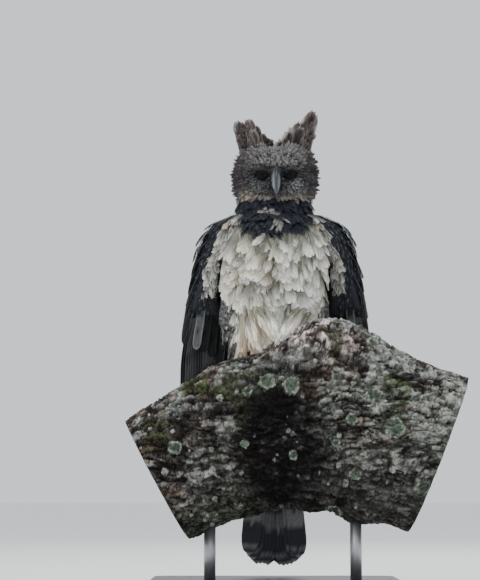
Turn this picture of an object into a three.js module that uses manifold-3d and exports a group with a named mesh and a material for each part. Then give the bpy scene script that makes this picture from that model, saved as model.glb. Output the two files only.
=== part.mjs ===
// A life-size harpy eagle perched on a short cut length of a thick branch, held by a plain display stand.
// Millimetres, +Z up. The origin is the middle of the underside of the stand's base. The bird faces -Y.
import * as THREE from "three";
import Module from "manifold-3d";

const wasm = await Module();
wasm.setup();

const { degToRad, lerp, smoothstep } = THREE.MathUtils;
const at = (x, y, z) => new THREE.Vector3(x, y, z);
const sides = { left: 1, right: -1 }; // the bird's own left and right: its left is +X

// Driving sizes
const gap = 0.35; // between pieces that touch
const base = { width: 520, depth: 380, thickness: 22, corner: 30 };
const rod = { radius: 12, places: [-135, 165], y: -20, top: 260 };
const perchY = -20; // the branch's middle, front to back
const perchHalfDepth = 125;

// A smooth curve through [t, value] pairs, which never runs past the values it joins.
function through(...pairs) {
  const slope = (i) => {
    if (i === 0 || i === pairs.length - 1) return 0;
    const before = (pairs[i][1] - pairs[i - 1][1]) / (pairs[i][0] - pairs[i - 1][0]);
    const after = (pairs[i + 1][1] - pairs[i][1]) / (pairs[i + 1][0] - pairs[i][0]);
    return before * after <= 0 ? 0 : (2 * before * after) / (before + after);
  };
  return (t) => {
    const last = pairs.length - 1;
    if (t <= pairs[0][0]) return pairs[0][1];
    if (t >= pairs[last][0]) return pairs[last][1];
    const i = pairs.findIndex((p, k) => k < last && t <= pairs[k + 1][0]);
    const [t0, a] = pairs[i];
    const [t1, b] = pairs[i + 1];
    const h = t1 - t0;
    const s = (t - t0) / h;
    const s2 = s * s;
    const s3 = s2 * s;
    return (2 * s3 - 3 * s2 + 1) * a + (s3 - 2 * s2 + s) * h * slope(i)
      + (3 * s2 - 2 * s3) * b + (s3 - s2) * h * slope(i + 1);
  };
}

const bell = (x, middle, width) => Math.exp(-(((x - middle) / width) ** 2));

// A closed solid from points and triangles, turned the right way out.
function solid(points, triangles) {
  const make = (faces) => new wasm.Manifold(new wasm.Mesh({
    numProp: 3,
    vertProperties: new Float32Array(points.flatMap((p) => [p.x, p.y, p.z])),
    triVerts: new Uint32Array(faces.flat()),
  }));
  const made = make(triangles);
  return made.volume() < 0 ? make(triangles.map(([a, b, c]) => [a, c, b])) : made;
}

// A solid through closed rings of points, each end closed by a fan.
function ringSolid(rings) {
  const n = rings[0].length;
  const points = rings.flat();
  const triangles = [];
  for (let i = 0; i + 1 < rings.length; i++) {
    for (let j = 0; j < n; j++) {
      const k = (j + 1) % n;
      const [a, b, c, d] = [i * n + j, i * n + k, (i + 1) * n + k, (i + 1) * n + j];
      triangles.push([a, b, c], [a, c, d]);
    }
  }
  for (const end of [0, rings.length - 1]) {
    const middle = rings[end].reduce((sum, p) => sum.add(p), at(0, 0, 0)).divideScalar(n);
    const hub = points.push(middle) - 1;
    for (let j = 0; j < n; j++) {
      const [a, b] = [end * n + j, end * n + (j + 1) % n];
      triangles.push(end ? [a, b, hub] : [b, a, hub]);
    }
  }
  return solid(points, triangles);
}

// A thick sheet: pointAt(u, v, face) with face 1 or -1, split into triangles alike on both faces.
function sheetSolid(rows, columns, pointAt) {
  const points = [];
  const id = (i, j, face) => 2 * (i * (columns + 1) + j) + (face > 0 ? 0 : 1);
  for (let i = 0; i <= rows; i++) {
    for (let j = 0; j <= columns; j++) {
      for (const face of [1, -1]) points.push(pointAt(i / rows, j / columns, face));
    }
  }
  const triangles = [];
  for (let i = 0; i < rows; i++) {
    for (let j = 0; j < columns; j++) {
      const corners = [[i, j], [i + 1, j], [i + 1, j + 1], [i, j + 1]];
      const [a, b, c, d] = corners.map(([p, q]) => id(p, q, 1));
      const [e, f, g, h] = corners.map(([p, q]) => id(p, q, -1));
      triangles.push([a, b, c], [a, c, d], [e, g, f], [e, h, g]);
    }
  }
  const rim = [];
  for (let i = 0; i < rows; i++) rim.push([i, 0]);
  for (let j = 0; j < columns; j++) rim.push([rows, j]);
  for (let i = rows; i > 0; i--) rim.push([i, columns]);
  for (let j = columns; j > 0; j--) rim.push([0, j]);
  rim.forEach(([i, j], k) => {
    const [p, q] = rim[(k + 1) % rim.length];
    const [a, b, c, d] = [id(i, j, 1), id(p, q, 1), id(p, q, -1), id(i, j, -1)];
    triangles.push([a, c, b], [a, d, c]);
  });
  return solid(points, triangles);
}

// A round body with its poles in front and behind: pointAt(tip, roll), tip 0 in front to PI behind.
function ballSolid(rings, sectors, pointAt) {
  const loops = [];
  for (let i = 1; i < rings; i++) {
    const loop = [];
    for (let j = 0; j < sectors; j++) {
      loop.push(pointAt((Math.PI * i) / rings, (2 * Math.PI * j) / sectors));
    }
    loops.push(loop);
  }
  const points = loops.flat();
  const front = points.push(pointAt(0, 0)) - 1;
  const back = points.push(pointAt(Math.PI, 0)) - 1;
  const triangles = [];
  for (let j = 0; j < sectors; j++) {
    const k = (j + 1) % sectors;
    triangles.push([front, k, j]);
    for (let i = 0; i + 1 < loops.length; i++) {
      const [a, b] = [i * sectors + j, i * sectors + k];
      triangles.push([a, b, b + sectors], [a, b + sectors, a + sectors]);
    }
    const last = (loops.length - 1) * sectors;
    triangles.push([last + j, last + k, back]);
  }
  return solid(points, triangles);
}

// A tapering round limb through [x, y, z, half-width, half-depth] stations.
function limbSolid(stations, rings, sectors, grow = 0, firstAcross = at(1, 0, 0)) {
  const of = (k) => through(...stations.map((s, i) => [i / (stations.length - 1), s[k]]));
  const path = new THREE.CatmullRomCurve3(stations.map((s) => at(s[0], s[1], s[2])));
  const [wide, deep] = [of(3), of(4)];
  const loops = [];
  let across = firstAcross;
  for (let i = 0; i <= rings; i++) {
    const t = i / rings;
    const along = path.getTangent(t);
    const spine = path.getPoint(t);
    if (i === 0) spine.addScaledVector(along, -grow);
    if (i === rings) spine.addScaledVector(along, grow);
    across = across.clone().addScaledVector(along, -across.dot(along)).normalize();
    const other = along.clone().cross(across);
    loops.push(Array.from({ length: sectors }, (_, j) => {
      const a = (2 * Math.PI * j) / sectors;
      return spine.clone()
        .addScaledVector(across, Math.cos(a) * (wide(t) + grow))
        .addScaledVector(other, Math.sin(a) * (deep(t) + grow));
    }));
  }
  return ringSolid(loops);
}

// One feather: a thin blade along frameAt(s), which gives its place p, face normal n and direction across c.
const bladeShape = through([0, 0.34], [0.15, 0.7], [0.4, 1], [0.8, 0.95], [0.95, 0.6], [1, 0.2]);

function feather(frameAt, { half, thick, rows }) {
  return sheetSolid(rows, 1, (u, v, face) => {
    const s = Math.sin((u * Math.PI) / 2);
    const { p, n, c } = frameAt(s);
    const across = 2 * v - 1;
    const out = (face * thick * lerp(1, 0.55, s)) / 2;
    return p.clone().addScaledVector(c, across * half * bladeShape(s)).addScaledVector(n, out);
  });
}

// The frame of a blade with the middle line placeAt(s), its face turned as near to facingAt(s) as that allows.
function bladeFrame(placeAt, facingAt, tiltAt = () => 0) {
  return (s) => {
    const along = placeAt(Math.min(1, s + 0.03)).sub(placeAt(Math.max(0, s - 0.03))).normalize();
    const n = facingAt(s).clone();
    n.addScaledVector(along, -n.dot(along)).normalize().applyAxisAngle(along, tiltAt(s));
    return { p: placeAt(s), n, c: n.clone().cross(along) };
  };
}

const join = (...pieces) => wasm.Manifold.union(pieces.flat());

// A solid less others, keeping only its largest closed surface.
function cut(body, ...others) {
  const left = others.flat().reduce((rest, other) => rest.subtract(other), body);
  return left.decompose().reduce((most, one) => (one.volume() > most.volume() ? one : most));
}

// The stand: a flat base and two short rods up to the branch.
function roundedPlate(width, depth, thickness, corner) {
  const shape = new THREE.Shape();
  const [x, y] = [width / 2, depth / 2];
  const corners = [[x, y, 0], [-x, y, 1], [-x, -y, 2], [x, -y, 3]];
  for (const [cx, cy, quarter] of corners) {
    const from = (quarter * Math.PI) / 2;
    shape.absarc(cx - Math.sign(cx) * corner, cy - Math.sign(cy) * corner, corner, from, from + Math.PI / 2);
  }
  const outline = shape.getPoints(3).slice(0, -1);
  const edge = 3;
  const level = (z, inset) => outline.map((p) => at(
    p.x * (1 - (2 * inset) / width), p.y * (1 - (2 * inset) / depth), z));
  return ringSolid([level(0, 0), level(thickness - edge, 0), level(thickness, edge)]);
}

const standBase = roundedPlate(base.width, base.depth, base.thickness, base.corner);

const rodSolid = (x) => limbSolid([
  [x, rod.y, base.thickness + gap, rod.radius, rod.radius],
  [x, rod.y, rod.top, rod.radius, rod.radius],
], 1, 16);

// The branch: a thick bent limb, cut square at both ends, with a hump beside the bird.
const branchLine = new THREE.CatmullRomCurve3([
  at(-244, perchY, 226),
  at(-125, perchY, 291),
  at(0, perchY, 336),
  at(115, perchY, 345),
  at(229, perchY, 318),
  at(333, perchY, 276),
]);
const branchUp = through([0, 132], [0.2, 139], [0.4, 150], [0.6, 170], [0.8, 160], [1, 164]);
const branchDown = through([0, 137], [0.2, 156], [0.4, 172], [0.6, 182], [0.8, 192], [1, 166]);
const humpAt = 0.62;

// Distance from the branch's middle line to its bark. turn 0 is up, and grows towards the back.
function barkRadius(t, turn) {
  const up = Math.cos(turn);
  const back = Math.sin(turn);
  const high = up > 0 ? branchUp(t) : branchDown(t);
  const square = up > 0 && back > 0 ? 2.5 : 2.1;
  const round = (Math.abs(up / high) ** square + Math.abs(back / perchHalfDepth) ** square) ** (-1 / square);
  const away = Math.atan2(back, up);
  const ridge = 9 * bell(away, degToRad(-12), degToRad(28));
  const hump = 46 * bell(t, humpAt, 0.12) * bell(away, degToRad(-14), degToRad(28));
  const hollow = -20 * bell(t, 0.44, 0.09) * bell(away, degToRad(-78), degToRad(34));
  const swells = 4 * Math.sin(3 * turn + 9 * t) + 3 * Math.sin(5 * turn - 17 * t + 1);
  const waves = swells + 2.5 * Math.sin(26 * t + 2 * turn);
  return round + ridge + hump + hollow + waves * (1 - 0.8 * bell(away, degToRad(25), degToRad(35)));
}

function branchPoint(t, turn, grow = 0) {
  const middle = branchLine.getPointAt(THREE.MathUtils.clamp(t, 0, 1));
  const along = branchLine.getTangentAt(THREE.MathUtils.clamp(t, 0, 1));
  const up = at(-along.z, 0, along.x);
  const r = barkRadius(t, turn) + grow;
  return middle.addScaledVector(up, r * Math.cos(turn)).add(at(0, r * Math.sin(turn), 0));
}

function branchSolid(grow = 0) {
  const [stations, sectors] = [21, 18];
  const loops = [];
  for (let i = 0; i <= stations; i++) {
    const turnOf = (j) => (2 * Math.PI * j) / sectors;
    loops.push(Array.from({ length: sectors }, (_, j) => branchPoint(i / stations, turnOf(j), grow)));
  }
  return ringSolid(loops);
}

// A place on the bark, that far across (to +X) and back (to +Y) from the branch's point at this x and turn.
function onBark(x, turn, across, back, height) {
  const [first, last] = [branchLine.getPoint(0).x, branchLine.getPoint(1).x];
  let t = (x - first) / (last - first);
  for (let i = 0; i < 12; i++) t += (x - branchPoint(t, turn).x) / (last - first);
  const t2 = t + across / branchLine.getLength();
  const turn2 = turn + back / barkRadius(t, turn);
  return branchPoint(t2, turn2, height);
}

// The torso, by height: its middle line leans back and down to the root of the tail.
const torsoY = through(
  [436, 116], [455, 111], [480, 102], [520, 88], [560, 71], [620, 52], [690, 33], [740, 22], [800, 10],
);
const torsoWide = through(
  [436, 22], [455, 46], [480, 62], [512, 78], [560, 96], [620, 106], [690, 112], [740, 107], [770, 88],
  [790, 66],
);
const torsoFront = through(
  [436, 12], [455, 26], [480, 38], [500, 44], [514, 78], [560, 90], [620, 95], [690, 95], [740, 88], [770, 72],
  [790, 56],
);
const torsoBack = through(
  [436, 13], [455, 24], [480, 36], [520, 48], [560, 57], [620, 63], [690, 62], [740, 58], [770, 48], [790, 38],
);

function torsoPoint(z, turn, grow = 0) {
  const [front, side] = [Math.cos(turn), Math.sin(turn)];
  const deep = front > 0 ? torsoFront(z) : torsoBack(z);
  const power = 2.25;
  const r = (Math.abs(side / torsoWide(z)) ** power + Math.abs(front / deep) ** power) ** (-1 / power) + grow;
  return at(r * side, torsoY(z) - r * front, z);
}

function torsoSolid(grow = 0) {
  const levels = [436, 444, 459, 477, 496, 507, 517, 538, 570, 605, 645, 690, 725, 750, 772, 790];
  const loops = levels.map((z, i) => {
    const level = z + (i === 0 ? -grow : 0) + (i === levels.length - 1 ? grow : 0);
    return Array.from({ length: 20 }, (_, j) => torsoPoint(z, (2 * Math.PI * j) / 20, grow).setZ(level));
  });
  return ringSolid(loops);
}

// The neck, a thick dark collar between torso and head.
const neckSolid = (grow = 0) => limbSolid([
  [0, 15, 745, 84, 69],
  [1, 19, 785, 82, 57],
  [2, 22, 820, 74, 46],
  [2, 24, 856, 56, 38],
], 4, 16, grow);

// The head: a round body seen as rings about the bill.
const headMiddle = at(2, 12, 864);
const headSize = { wide: 79, front: 60, back: 66, up: 60, down: 61 };
const eye = { radius: 12.5, x: 29, y: -41, z: 868.5, outward: degToRad(28) };

function headPoint(tip, roll, grow = 0) {
  const direction = at(Math.sin(tip) * Math.sin(roll), -Math.cos(tip), Math.sin(tip) * Math.cos(roll));
  const { wide, front, back, up, down } = headSize;
  const [rx, ry, rz] = [wide, direction.y < 0 ? front : back, direction.z > 0 ? up : down];
  const power = 2.3;
  const shares = [direction.x / rx, direction.y / ry, direction.z / rz];
  const sum = shares.reduce((total, share) => total + Math.abs(share) ** power, 0);
  let r = sum ** (-1 / power);
  const p = direction.clone().multiplyScalar(r).add(headMiddle);
  const side = Math.abs(p.x - headMiddle.x);
  if (p.y < 20) {
    const brow = 7 * bell(side, 28, 17) * bell(p.z, 887, 7);
    const socket = -7 * bell(side, 29, 13) * bell(p.z, 869, 9);
    const muzzle = 9 * bell(side, 0, 15) * bell(p.z, 862, 16);
    const cheek = 4 * bell(side, 52, 20) * bell(p.z, 842, 18);
    const chin = -5 * bell(side, 0, 18) * bell(p.z, 828, 9);
    r += brow + socket + muzzle + cheek + chin;
  }
  return direction.multiplyScalar(r + grow).add(headMiddle);
}

const headCore = (grow = 0) => ballSolid(16, 24, (tip, roll) => headPoint(tip, roll, grow));

const eyePlace = (side) => at(headMiddle.x + side * eye.x, eye.y, eye.z);
const eyeAxis = (side) => at(side * Math.sin(eye.outward), -Math.cos(eye.outward), -0.06).normalize();

function eyeBall(side, radius) {
  const turn = new THREE.Quaternion().setFromUnitVectors(at(0, -1, 0), eyeAxis(side));
  return ballSolid(7, 12, (tip, roll) => at(
    Math.sin(tip) * Math.sin(roll), -Math.cos(tip), Math.sin(tip) * Math.cos(roll),
  ).multiplyScalar(radius).applyQuaternion(turn).add(eyePlace(side)));
}

// A ring of lid round each eye, a little wider than high.
function lidRing(side) {
  const axis = eyeAxis(side);
  const across = at(0, 0, 1).cross(axis).normalize();
  const high = axis.clone().cross(across);
  const middle = eyePlace(side).addScaledVector(axis, 5.2);
  const loops = Array.from({ length: 14 }, (_, i) => {
    const a = (2 * Math.PI * i) / 14;
    const out = across.clone().multiplyScalar(Math.cos(a)).addScaledVector(high, Math.sin(a));
    const spine = middle.clone()
      .addScaledVector(across, Math.cos(a) * 10.6)
      .addScaledVector(high, Math.sin(a) * 9.4);
    return Array.from({ length: 5 }, (_, j) => {
      const b = (2 * Math.PI * j) / 5;
      return spine.clone().addScaledVector(out, Math.cos(b) * 2.6).addScaledVector(axis, Math.sin(b) * 2.6);
    });
  });
  return torusSolid(loops);
}

// A closed ring of loops.
function torusSolid(loops) {
  const n = loops[0].length;
  const triangles = [];
  loops.forEach((_, i) => {
    const next = (i + 1) % loops.length;
    for (let j = 0; j < n; j++) {
      const k = (j + 1) % n;
      const [a, b, c, d] = [i * n + j, i * n + k, next * n + k, next * n + j];
      triangles.push([a, b, c], [a, c, d]);
    }
  });
  return solid(loops.flat(), triangles);
}

// The bill: a deep hooked upper half, its cere in front of the face, and a short lower half.
const billX = headMiddle.x;
const upperBill = (grow = 0) => limbSolid([
  [billX, -38, 866, 16, 19],
  [billX, -60, 867, 14, 19],
  [billX, -78, 863, 11, 17.5],
  [billX, -92, 851, 8, 12.5],
  [billX, -98.5, 837, 4.5, 7],
  [billX, -97, 821, 0.7, 0.9],
], 9, 10, grow);
const lowerBill = (grow = 0) => limbSolid([
  [billX, -36, 846, 15, 9],
  [billX, -58, 846, 11.5, 8],
  [billX, -74, 846, 8, 6],
  [billX, -84, 847, 3.5, 3],
], 4, 8, grow);

// The line of the mouth, a groove from the bill back under each eye.
const mouthGroove = (side) => limbSolid([
  [billX + side * 9, -74, 852, 1, 1],
  [billX + side * 17, -64, 851, 1.2, 1.2],
  [billX + side * 26, -53, 852, 1.2, 1.2],
  [billX + side * 32, -44, 850, 0.9, 0.9],
], 5, 4);

const nostril = (side) => limbSolid([
  [billX + side * 6, -66, 866, 1.6, 2.6],
  [billX + side * 18, -69, 870, 1.6, 2.6],
], 1, 6);

// The crest: two fans of broad feathers that stand up and out from the back of the crown.
const crest = {
  left: { count: 6, roots: [52, 8], tips: [82, 12], tops: [1000, 938] },
  right: { count: 5, roots: [54, 20], tips: [84, 34], tops: [981, 936] },
  half: 14,
  layer: 2.2,
};

function crestFeathers(side) {
  const { count, roots, tips, tops } = side > 0 ? crest.left : crest.right;
  const facing = at(side * 0.22, -1, 0.1).normalize();
  return Array.from({ length: count }, (_, i) => {
    const share = i / (count - 1);
    const [foot, top] = [lerp(...roots, share), lerp(...tips, share)];
    const high = lerp(...tops, share ** 1.25) - 5 * (i % 2);
    const placeAt = (s) => {
      const x = headMiddle.x + side * (lerp(foot, top, s) - 5 * Math.sin(Math.PI * s));
      const z = lerp(886, high, s);
      const back = 0.22 * (side * x - 40) + 0.1 * (z - 886) + 12 * ((z - 886) / 110) ** 2;
      return at(x, 30 + back - i * crest.layer, z);
    };
    return feather(bladeFrame(placeAt, () => facing), { half: crest.half - 1.5 * share, thick: 1.3, rows: 5 });
  });
}

// The ruff: soft feathers that flare from the edge of the face, and a second tier behind them at its sides.
const ruff = {
  front: { count: 9, rolls: [50, 171], length: 27 },
  rear: { count: 5, rolls: [48, 108], length: 28 },
  half: 10.5,
};

function ruffFeathers(side) {
  const made = [];
  for (const [name, { count, rolls, length }] of Object.entries({ front: ruff.front, rear: ruff.rear })) {
    for (let i = 0; i < count; i++) {
      const degrees = lerp(...rolls, i / (count - 1));
      const low = smoothstep(degrees, 95, 160);
      const roll = side * degToRad(degrees);
      const from = name === "front" ? lerp(74, 42, low) : 98;
      const flare = name === "front" ? lerp(0.55, -0.45, low) : 0.95;
      const out = at(Math.sin(roll), 0, Math.cos(roll));
      const back = at(0, 1, 0);
      const root = headPoint(degToRad(from), roll, -7);
      const facing = out.clone().multiplyScalar(Math.sin(flare)).addScaledVector(back, -Math.cos(flare));
      const placeAt = (s) => root.clone()
        .addScaledVector(out, Math.cos(flare) * length * s)
        .addScaledVector(back, length * (Math.sin(flare) * s + 0.2 * s * s));
      const frame = bladeFrame(placeAt, () => facing, () => side * 0.1);
      made.push(feather(frame, { half: ruff.half, thick: 1.5, rows: 2 }));
    }
  }
  return made;
}

// The folded wing hangs as a curved sheet beside and behind the body. Each level of it is an arc from its front
// edge at v = 0 to its rear edge at v = 1. The front edge is wingWide across and wingY back, by height.
const wingWide = through(
  [245, 172], [340, 188], [430, 195], [512, 195], [570, 185], [600, 180], [650, 167], [700, 150], [733, 136],
  [765, 114], [785, 84],
);
const wingY = through([245, 152], [340, 139], [430, 120], [520, 90], [600, 56], [680, 24], [760, -2]);
const wingArc = through(
  [245, 88], [340, 125], [430, 160], [520, 174], [600, 176], [690, 168], [760, 140], [790, 100],
);
const wingFrontTurn = through([245, 60], [430, 50], [600, 35], [690, 20], [760, 4], [790, -4]);
const wingRearTurn = through([245, 84], [600, 84], [790, 82]);
const wingFlesh = { high: 786, low: 478 };

const wingTurn = (z, v) => degToRad(lerp(wingFrontTurn(z), wingRearTurn(z), v));
const wingNormal = (side, z, v) => at(side * Math.cos(wingTurn(z, v)), Math.sin(wingTurn(z, v)), 0);

function wingPoint(side, z, v, out = 0) {
  const radius = wingArc(z) / (wingTurn(z, 1) - wingTurn(z, 0));
  const front = at(side * (wingWide(z) + side * 4), wingY(z), z);
  return front
    .addScaledVector(wingNormal(side, z, 0), -radius)
    .addScaledVector(wingNormal(side, z, v), radius + out);
}

// The fleshy part of the wing, under the feathers, and the shoulder that joins it to the torso.
function wingCore(side) {
  const heavy = through([470, 3], [520, 8], [600, 15], [680, 20], [760, 22], [790, 12]);
  const nose = through([0, 0.8], [0.12, 1.2], [0.3, 1], [1, 0.5]);
  return sheetSolid(7, 5, (u, v, face) => {
    const z = lerp(wingFlesh.high, wingFlesh.low, u ** 1.4);
    return wingPoint(side, z, v, -6 - (face > 0 ? 0 : heavy(z) * nose(v)));
  });
}

const shoulder = (side) => limbSolid([
  [side * 62, 14, 750, 42, 34],
  [side * 92, 14, 742, 44, 36],
  [side * 122, 20, 712, 30, 24],
], 3, 10, 0, at(0, 1, 0));

// One wing feather, from { z, v } at its root to { z, v } at its tip, raised out from the sheet.
function wingFeather(side, root, tip, { half, rows, out, tilts, thick = 1.3 }) {
  const levelAt = (s) => [lerp(root.z, tip.z, s), lerp(root.v, tip.v, s)];
  const placeAt = (s) => wingPoint(side, ...levelAt(s), lerp(-11, out, smoothstep(s, -0.04, 0.36)));
  const tiltAt = (s) => side * lerp(...tilts, s);
  return feather(bladeFrame(placeAt, (s) => wingNormal(side, ...levelAt(s)), tiltAt), { half, thick, rows });
}

// The feathers of the folded wing, tier over tier. Each lies over the one in front of it, like a shingle.
const wingTiers = {
  primaries: {
    count: 6, rootZ: [572, 578], tipZ: [262, 330], rootV: [0.04, 0.34], tipV: [0.08, 0.4],
    half: 15, rows: 4, out: 0, tilts: [0.22, 0.36],
  },
  secondaries: {
    count: 9, rootZ: [584, 604], tipZ: [352, 432], rootV: [0.4, 0.94], tipV: [0.46, 0.93],
    half: 18, rows: 4, out: 0.5, tilts: [0.21, 0.34],
  },
  greaterCoverts: {
    count: 11, rootZ: [668, 690], tipZ: [532, 560], rootV: [0.03, 0.96], tipV: [0.04, 0.95],
    half: 14.5, rows: 3, out: 8, tilts: [0.15, 0.17],
  },
  medianCoverts: {
    count: 8, rootZ: [724, 736], tipZ: [620, 640], rootV: [0.04, 0.78], tipV: [0.05, 0.8],
    half: 15, rows: 3, out: 14, tilts: [0.16, 0.16],
  },
  lesserCoverts: {
    count: 6, rootZ: [764, 768], tipZ: [690, 700], rootV: [0.05, 0.68], tipV: [0.06, 0.7],
    half: 15, rows: 3, out: 19, tilts: [0.18, 0.16],
  },
  scapulars: {
    count: 4, rootZ: [766, 768], tipZ: [596, 640], rootV: [0.8, 0.97], tipV: [0.84, 1.1],
    half: 16, rows: 3, out: 21, tilts: [0.13, 0.13],
  },
};

function wingTier(side, { count, rootZ, tipZ, rootV, tipV, ...sizes }) {
  return Array.from({ length: count }, (_, i) => {
    const share = i / (count - 1);
    const uneven = 5 * Math.sin(7 * share + count);
    return wingFeather(side,
      { z: lerp(...rootZ, share), v: lerp(...rootV, share) },
      { z: lerp(...tipZ, share) + uneven, v: lerp(...tipV, share) }, sizes);
  });
}

// The tail: twelve long feathers in a fan that hangs behind the branch.
const tail = { rootY: 130, rootZ: 424, tipY: 152, tipZ: 45, layer: 1.9, half: 20.5 };

const tailCore = () => limbSolid([
  [0, 120, 474, 34, 17],
  [0, 126, 440, 33, 16],
  [0, 132, 402, 27, 13],
  [0, 135, 382, 18, 8],
], 3, 8);

// The tail feathers lie in layers: the middle pair is rearmost, and each pair further out lies further forward.
function tailFeathers() {
  const made = [];
  for (let i = 0; i < 12; i++) {
    const side = i % 2 ? -1 : 1;
    const share = Math.floor(i / 2) / 5;
    const layer = (5.5 - i) * tail.layer;
    const root = at(side * lerp(4, 18, share), tail.rootY + layer * 0.82, tail.rootZ);
    const shorter = 18 * share ** 2.5 + (side < 0 ? 4 : 0);
    const tip = at(side * lerp(13, 54, share), tail.tipY + layer, tail.tipZ + shorter);
    const placeAt = (s) => root.clone().lerp(tip, s);
    made.push(feather(bladeFrame(placeAt, () => at(0, 1, 0)), { half: tail.half, thick: 1.3, rows: 4 }));
  }
  return made;
}

// Coverts over and under the root of the tail.
function tailCoverts() {
  const made = [];
  for (const face of [1, -1]) {
    const long = face > 0 ? 100 : 125;
    for (let i = 0; i < 5; i++) {
      const across = (i - 2) / 2;
      const raised = 15 + 2.4 * (i % 2);
      const root = at(across * 24, 126 + face * (9 + 2.4 * (i % 2)), 430);
      const tip = at(across * 42, 134 + face * raised, 430 - long + 22 * across * across);
      const rise = (s) => lerp(root.y, tip.y, smoothstep(s, -0.05, 0.45));
      const placeAt = (s) => root.clone().lerp(tip, s).setY(rise(s));
      made.push(feather(bladeFrame(placeAt, () => at(0, face, 0)), { half: 13, thick: 1.2, rows: 3 }));
    }
  }
  return made;
}

// Legs: a feathered thigh, a bare shank, a foot of four toes and their claws.
const foot = { x: 52, turn: degToRad(31) };
const thighSolid = (side, grow = 0) => limbSolid([
  [side * 50, 24, 650, 30, 34],
  [side * 68, 44, 612, 42, 48],
  [side * 76, 66, 566, 42, 44],
  [side * 64, 80, 527, 22, 25],
], 6, 12, grow);

const footPlace = (side, height) => onBark(side * foot.x, foot.turn, 0, 0, height);

function shankSolid(side, grow = 0) {
  const ankle = footPlace(side, 14);
  return limbSolid([
    [side * 64, 92, 566, 13, 13],
    [lerp(side * 64, ankle.x, 0.5), lerp(92, ankle.y, 0.5), lerp(566, ankle.z, 0.5), 12.5, 12.5],
    [ankle.x, ankle.y, ankle.z, 14, 15],
  ], 4, 10, grow);
}

// Each toe: its direction from straight ahead, towards the outside, with its length and its claw's.
const toes = {
  inner: { turn: -22, length: 52, radius: 11, claw: 38 },
  middle: { turn: 4, length: 70, radius: 10.5, claw: 32 },
  outer: { turn: 44, length: 52, radius: 10, claw: 28 },
  hind: { turn: 176, length: 44, radius: 12, claw: 50 },
};

// A place along a toe, that far from the foot's middle and that high over the bark.
function overBark(side, toe, distance, height) {
  const a = degToRad(toe.turn);
  return onBark(side * foot.x, foot.turn, side * Math.sin(a) * distance, -Math.cos(a) * distance, height);
}

function toeSolid(side, toe, grow = 0) {
  const r = toe.radius;
  const place = (share, height, size) => {
    const p = overBark(side, toe, share * toe.length, height);
    return [p.x, p.y, p.z, size, size * 0.92];
  };
  return limbSolid([
    place(0, r + 3, r * 1.15),
    place(0.3, r + 2, r * 0.98),
    place(0.55, r, r * 1.06),
    place(0.78, r - 0.5, r * 0.9),
    place(1, r - 1.5, r * 0.8),
  ], 5, 7, grow);
}

// A plain room that takes in a toe and its claw.
function toeRoom(side, toe) {
  const reach = toe.length + toe.claw * 0.72;
  const place = (distance, height, size) => {
    const p = overBark(side, toe, distance, height);
    return [p.x, p.y, p.z, size, size];
  };
  return limbSolid([
    place(-2, toe.radius + 4, toe.radius * 1.5),
    place(toe.length * 0.6, toe.radius + 2, toe.radius * 1.45),
    place(toe.length * 1.1, toe.radius + 2, toe.radius * 1.35),
    place(reach + 1, 4, 9),
  ], 3, 6);
}

function clawSolid(side, toe, grow = 0) {
  const r = toe.radius;
  const start = overBark(side, toe, toe.length - 3, r);
  const end = overBark(side, toe, toe.length + toe.claw * 0.72, 0.8);
  const top = start.clone().lerp(end, 0.45).add(at(0, 0, toe.claw * 0.3));
  return limbSolid([
    [start.x, start.y, start.z, r * 0.62, r * 0.66],
    [top.x, top.y, top.z, r * 0.46, r * 0.5],
    [lerp(top.x, end.x, 0.62), lerp(top.y, end.y, 0.62), lerp(top.z, end.z, 0.5), r * 0.27, r * 0.3],
    [end.x, end.y, end.z, 0.6, 0.6],
  ], 5, 6, grow);
}

// Materials
const finish = (color, roughness, metalness = 0) => (
  new THREE.MeshStandardMaterial({ color, roughness, metalness })
);
const looks = {
  slate: finish(0x2b2c31, 0.75),
  white: finish(0xe4e2d8, 0.85),
  black: finish(0x17181b, 0.8),
  grey: finish(0x7d7b78, 0.85),
  barred: finish(0x55554f, 0.8),
  horn: finish(0x2a2c30, 0.35),
  eye: finish(0x1d1512, 0.1),
  skin: finish(0xc79f3a, 0.6),
  bark: finish(0x6b655a, 0.95),
  base: finish(0x2b2b2b, 0.5),
  steel: finish(0x8d9095, 0.35, 0.9),
};

const model = new THREE.Group();
model.name = "harpy_eagle";

function add(name, piece, look) {
  const { vertProperties, triVerts, numProp } = piece.getMesh();
  const points = new Float32Array((vertProperties.length / numProp) * 3);
  for (let i = 0; i < points.length / 3; i++) {
    points.set(vertProperties.subarray(i * numProp, i * numProp + 3), i * 3);
  }
  const geometry = new THREE.BufferGeometry();
  geometry.setAttribute("position", new THREE.BufferAttribute(points, 3));
  geometry.setIndex(new THREE.BufferAttribute(new Uint32Array(triVerts), 1));
  geometry.computeVertexNormals();
  const mesh = new THREE.Mesh(geometry, look);
  mesh.name = name;
  model.add(mesh);
}

// The same pieces grown by the gap, which their neighbours are cut back from.
const branchRoom = branchSolid(gap);
const torsoRoom = torsoSolid(gap);
const neckRoom = neckSolid(gap);
const headRoom = headCore(gap);

add("stand_base", standBase, looks.base);
rod.places.forEach((x, i) => add(`stand_rod_${i + 1}`, cut(rodSolid(x), branchRoom), looks.steel));
add("perch", branchSolid(), looks.bark);

const legs = {};
for (const [name, side] of Object.entries(sides)) {
  const shankRoom = shankSolid(side, gap);
  const clawRooms = Object.values(toes).map((toe) => clawSolid(side, toe, gap));
  const joined = join(Object.values(toes).map((toe) => toeSolid(side, toe)));
  legs[name] = {
    thighRoom: thighSolid(side, gap),
    foot: cut(joined, branchRoom, shankRoom, clawRooms),
    rooms: [shankRoom, ...Object.values(toes).map((toe) => toeRoom(side, toe))],
  };
}
add("torso", cut(torsoSolid(), branchRoom, legs.left.rooms, legs.right.rooms), looks.white);
add("neck", cut(neckSolid(), torsoRoom, headRoom), looks.black);

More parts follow.
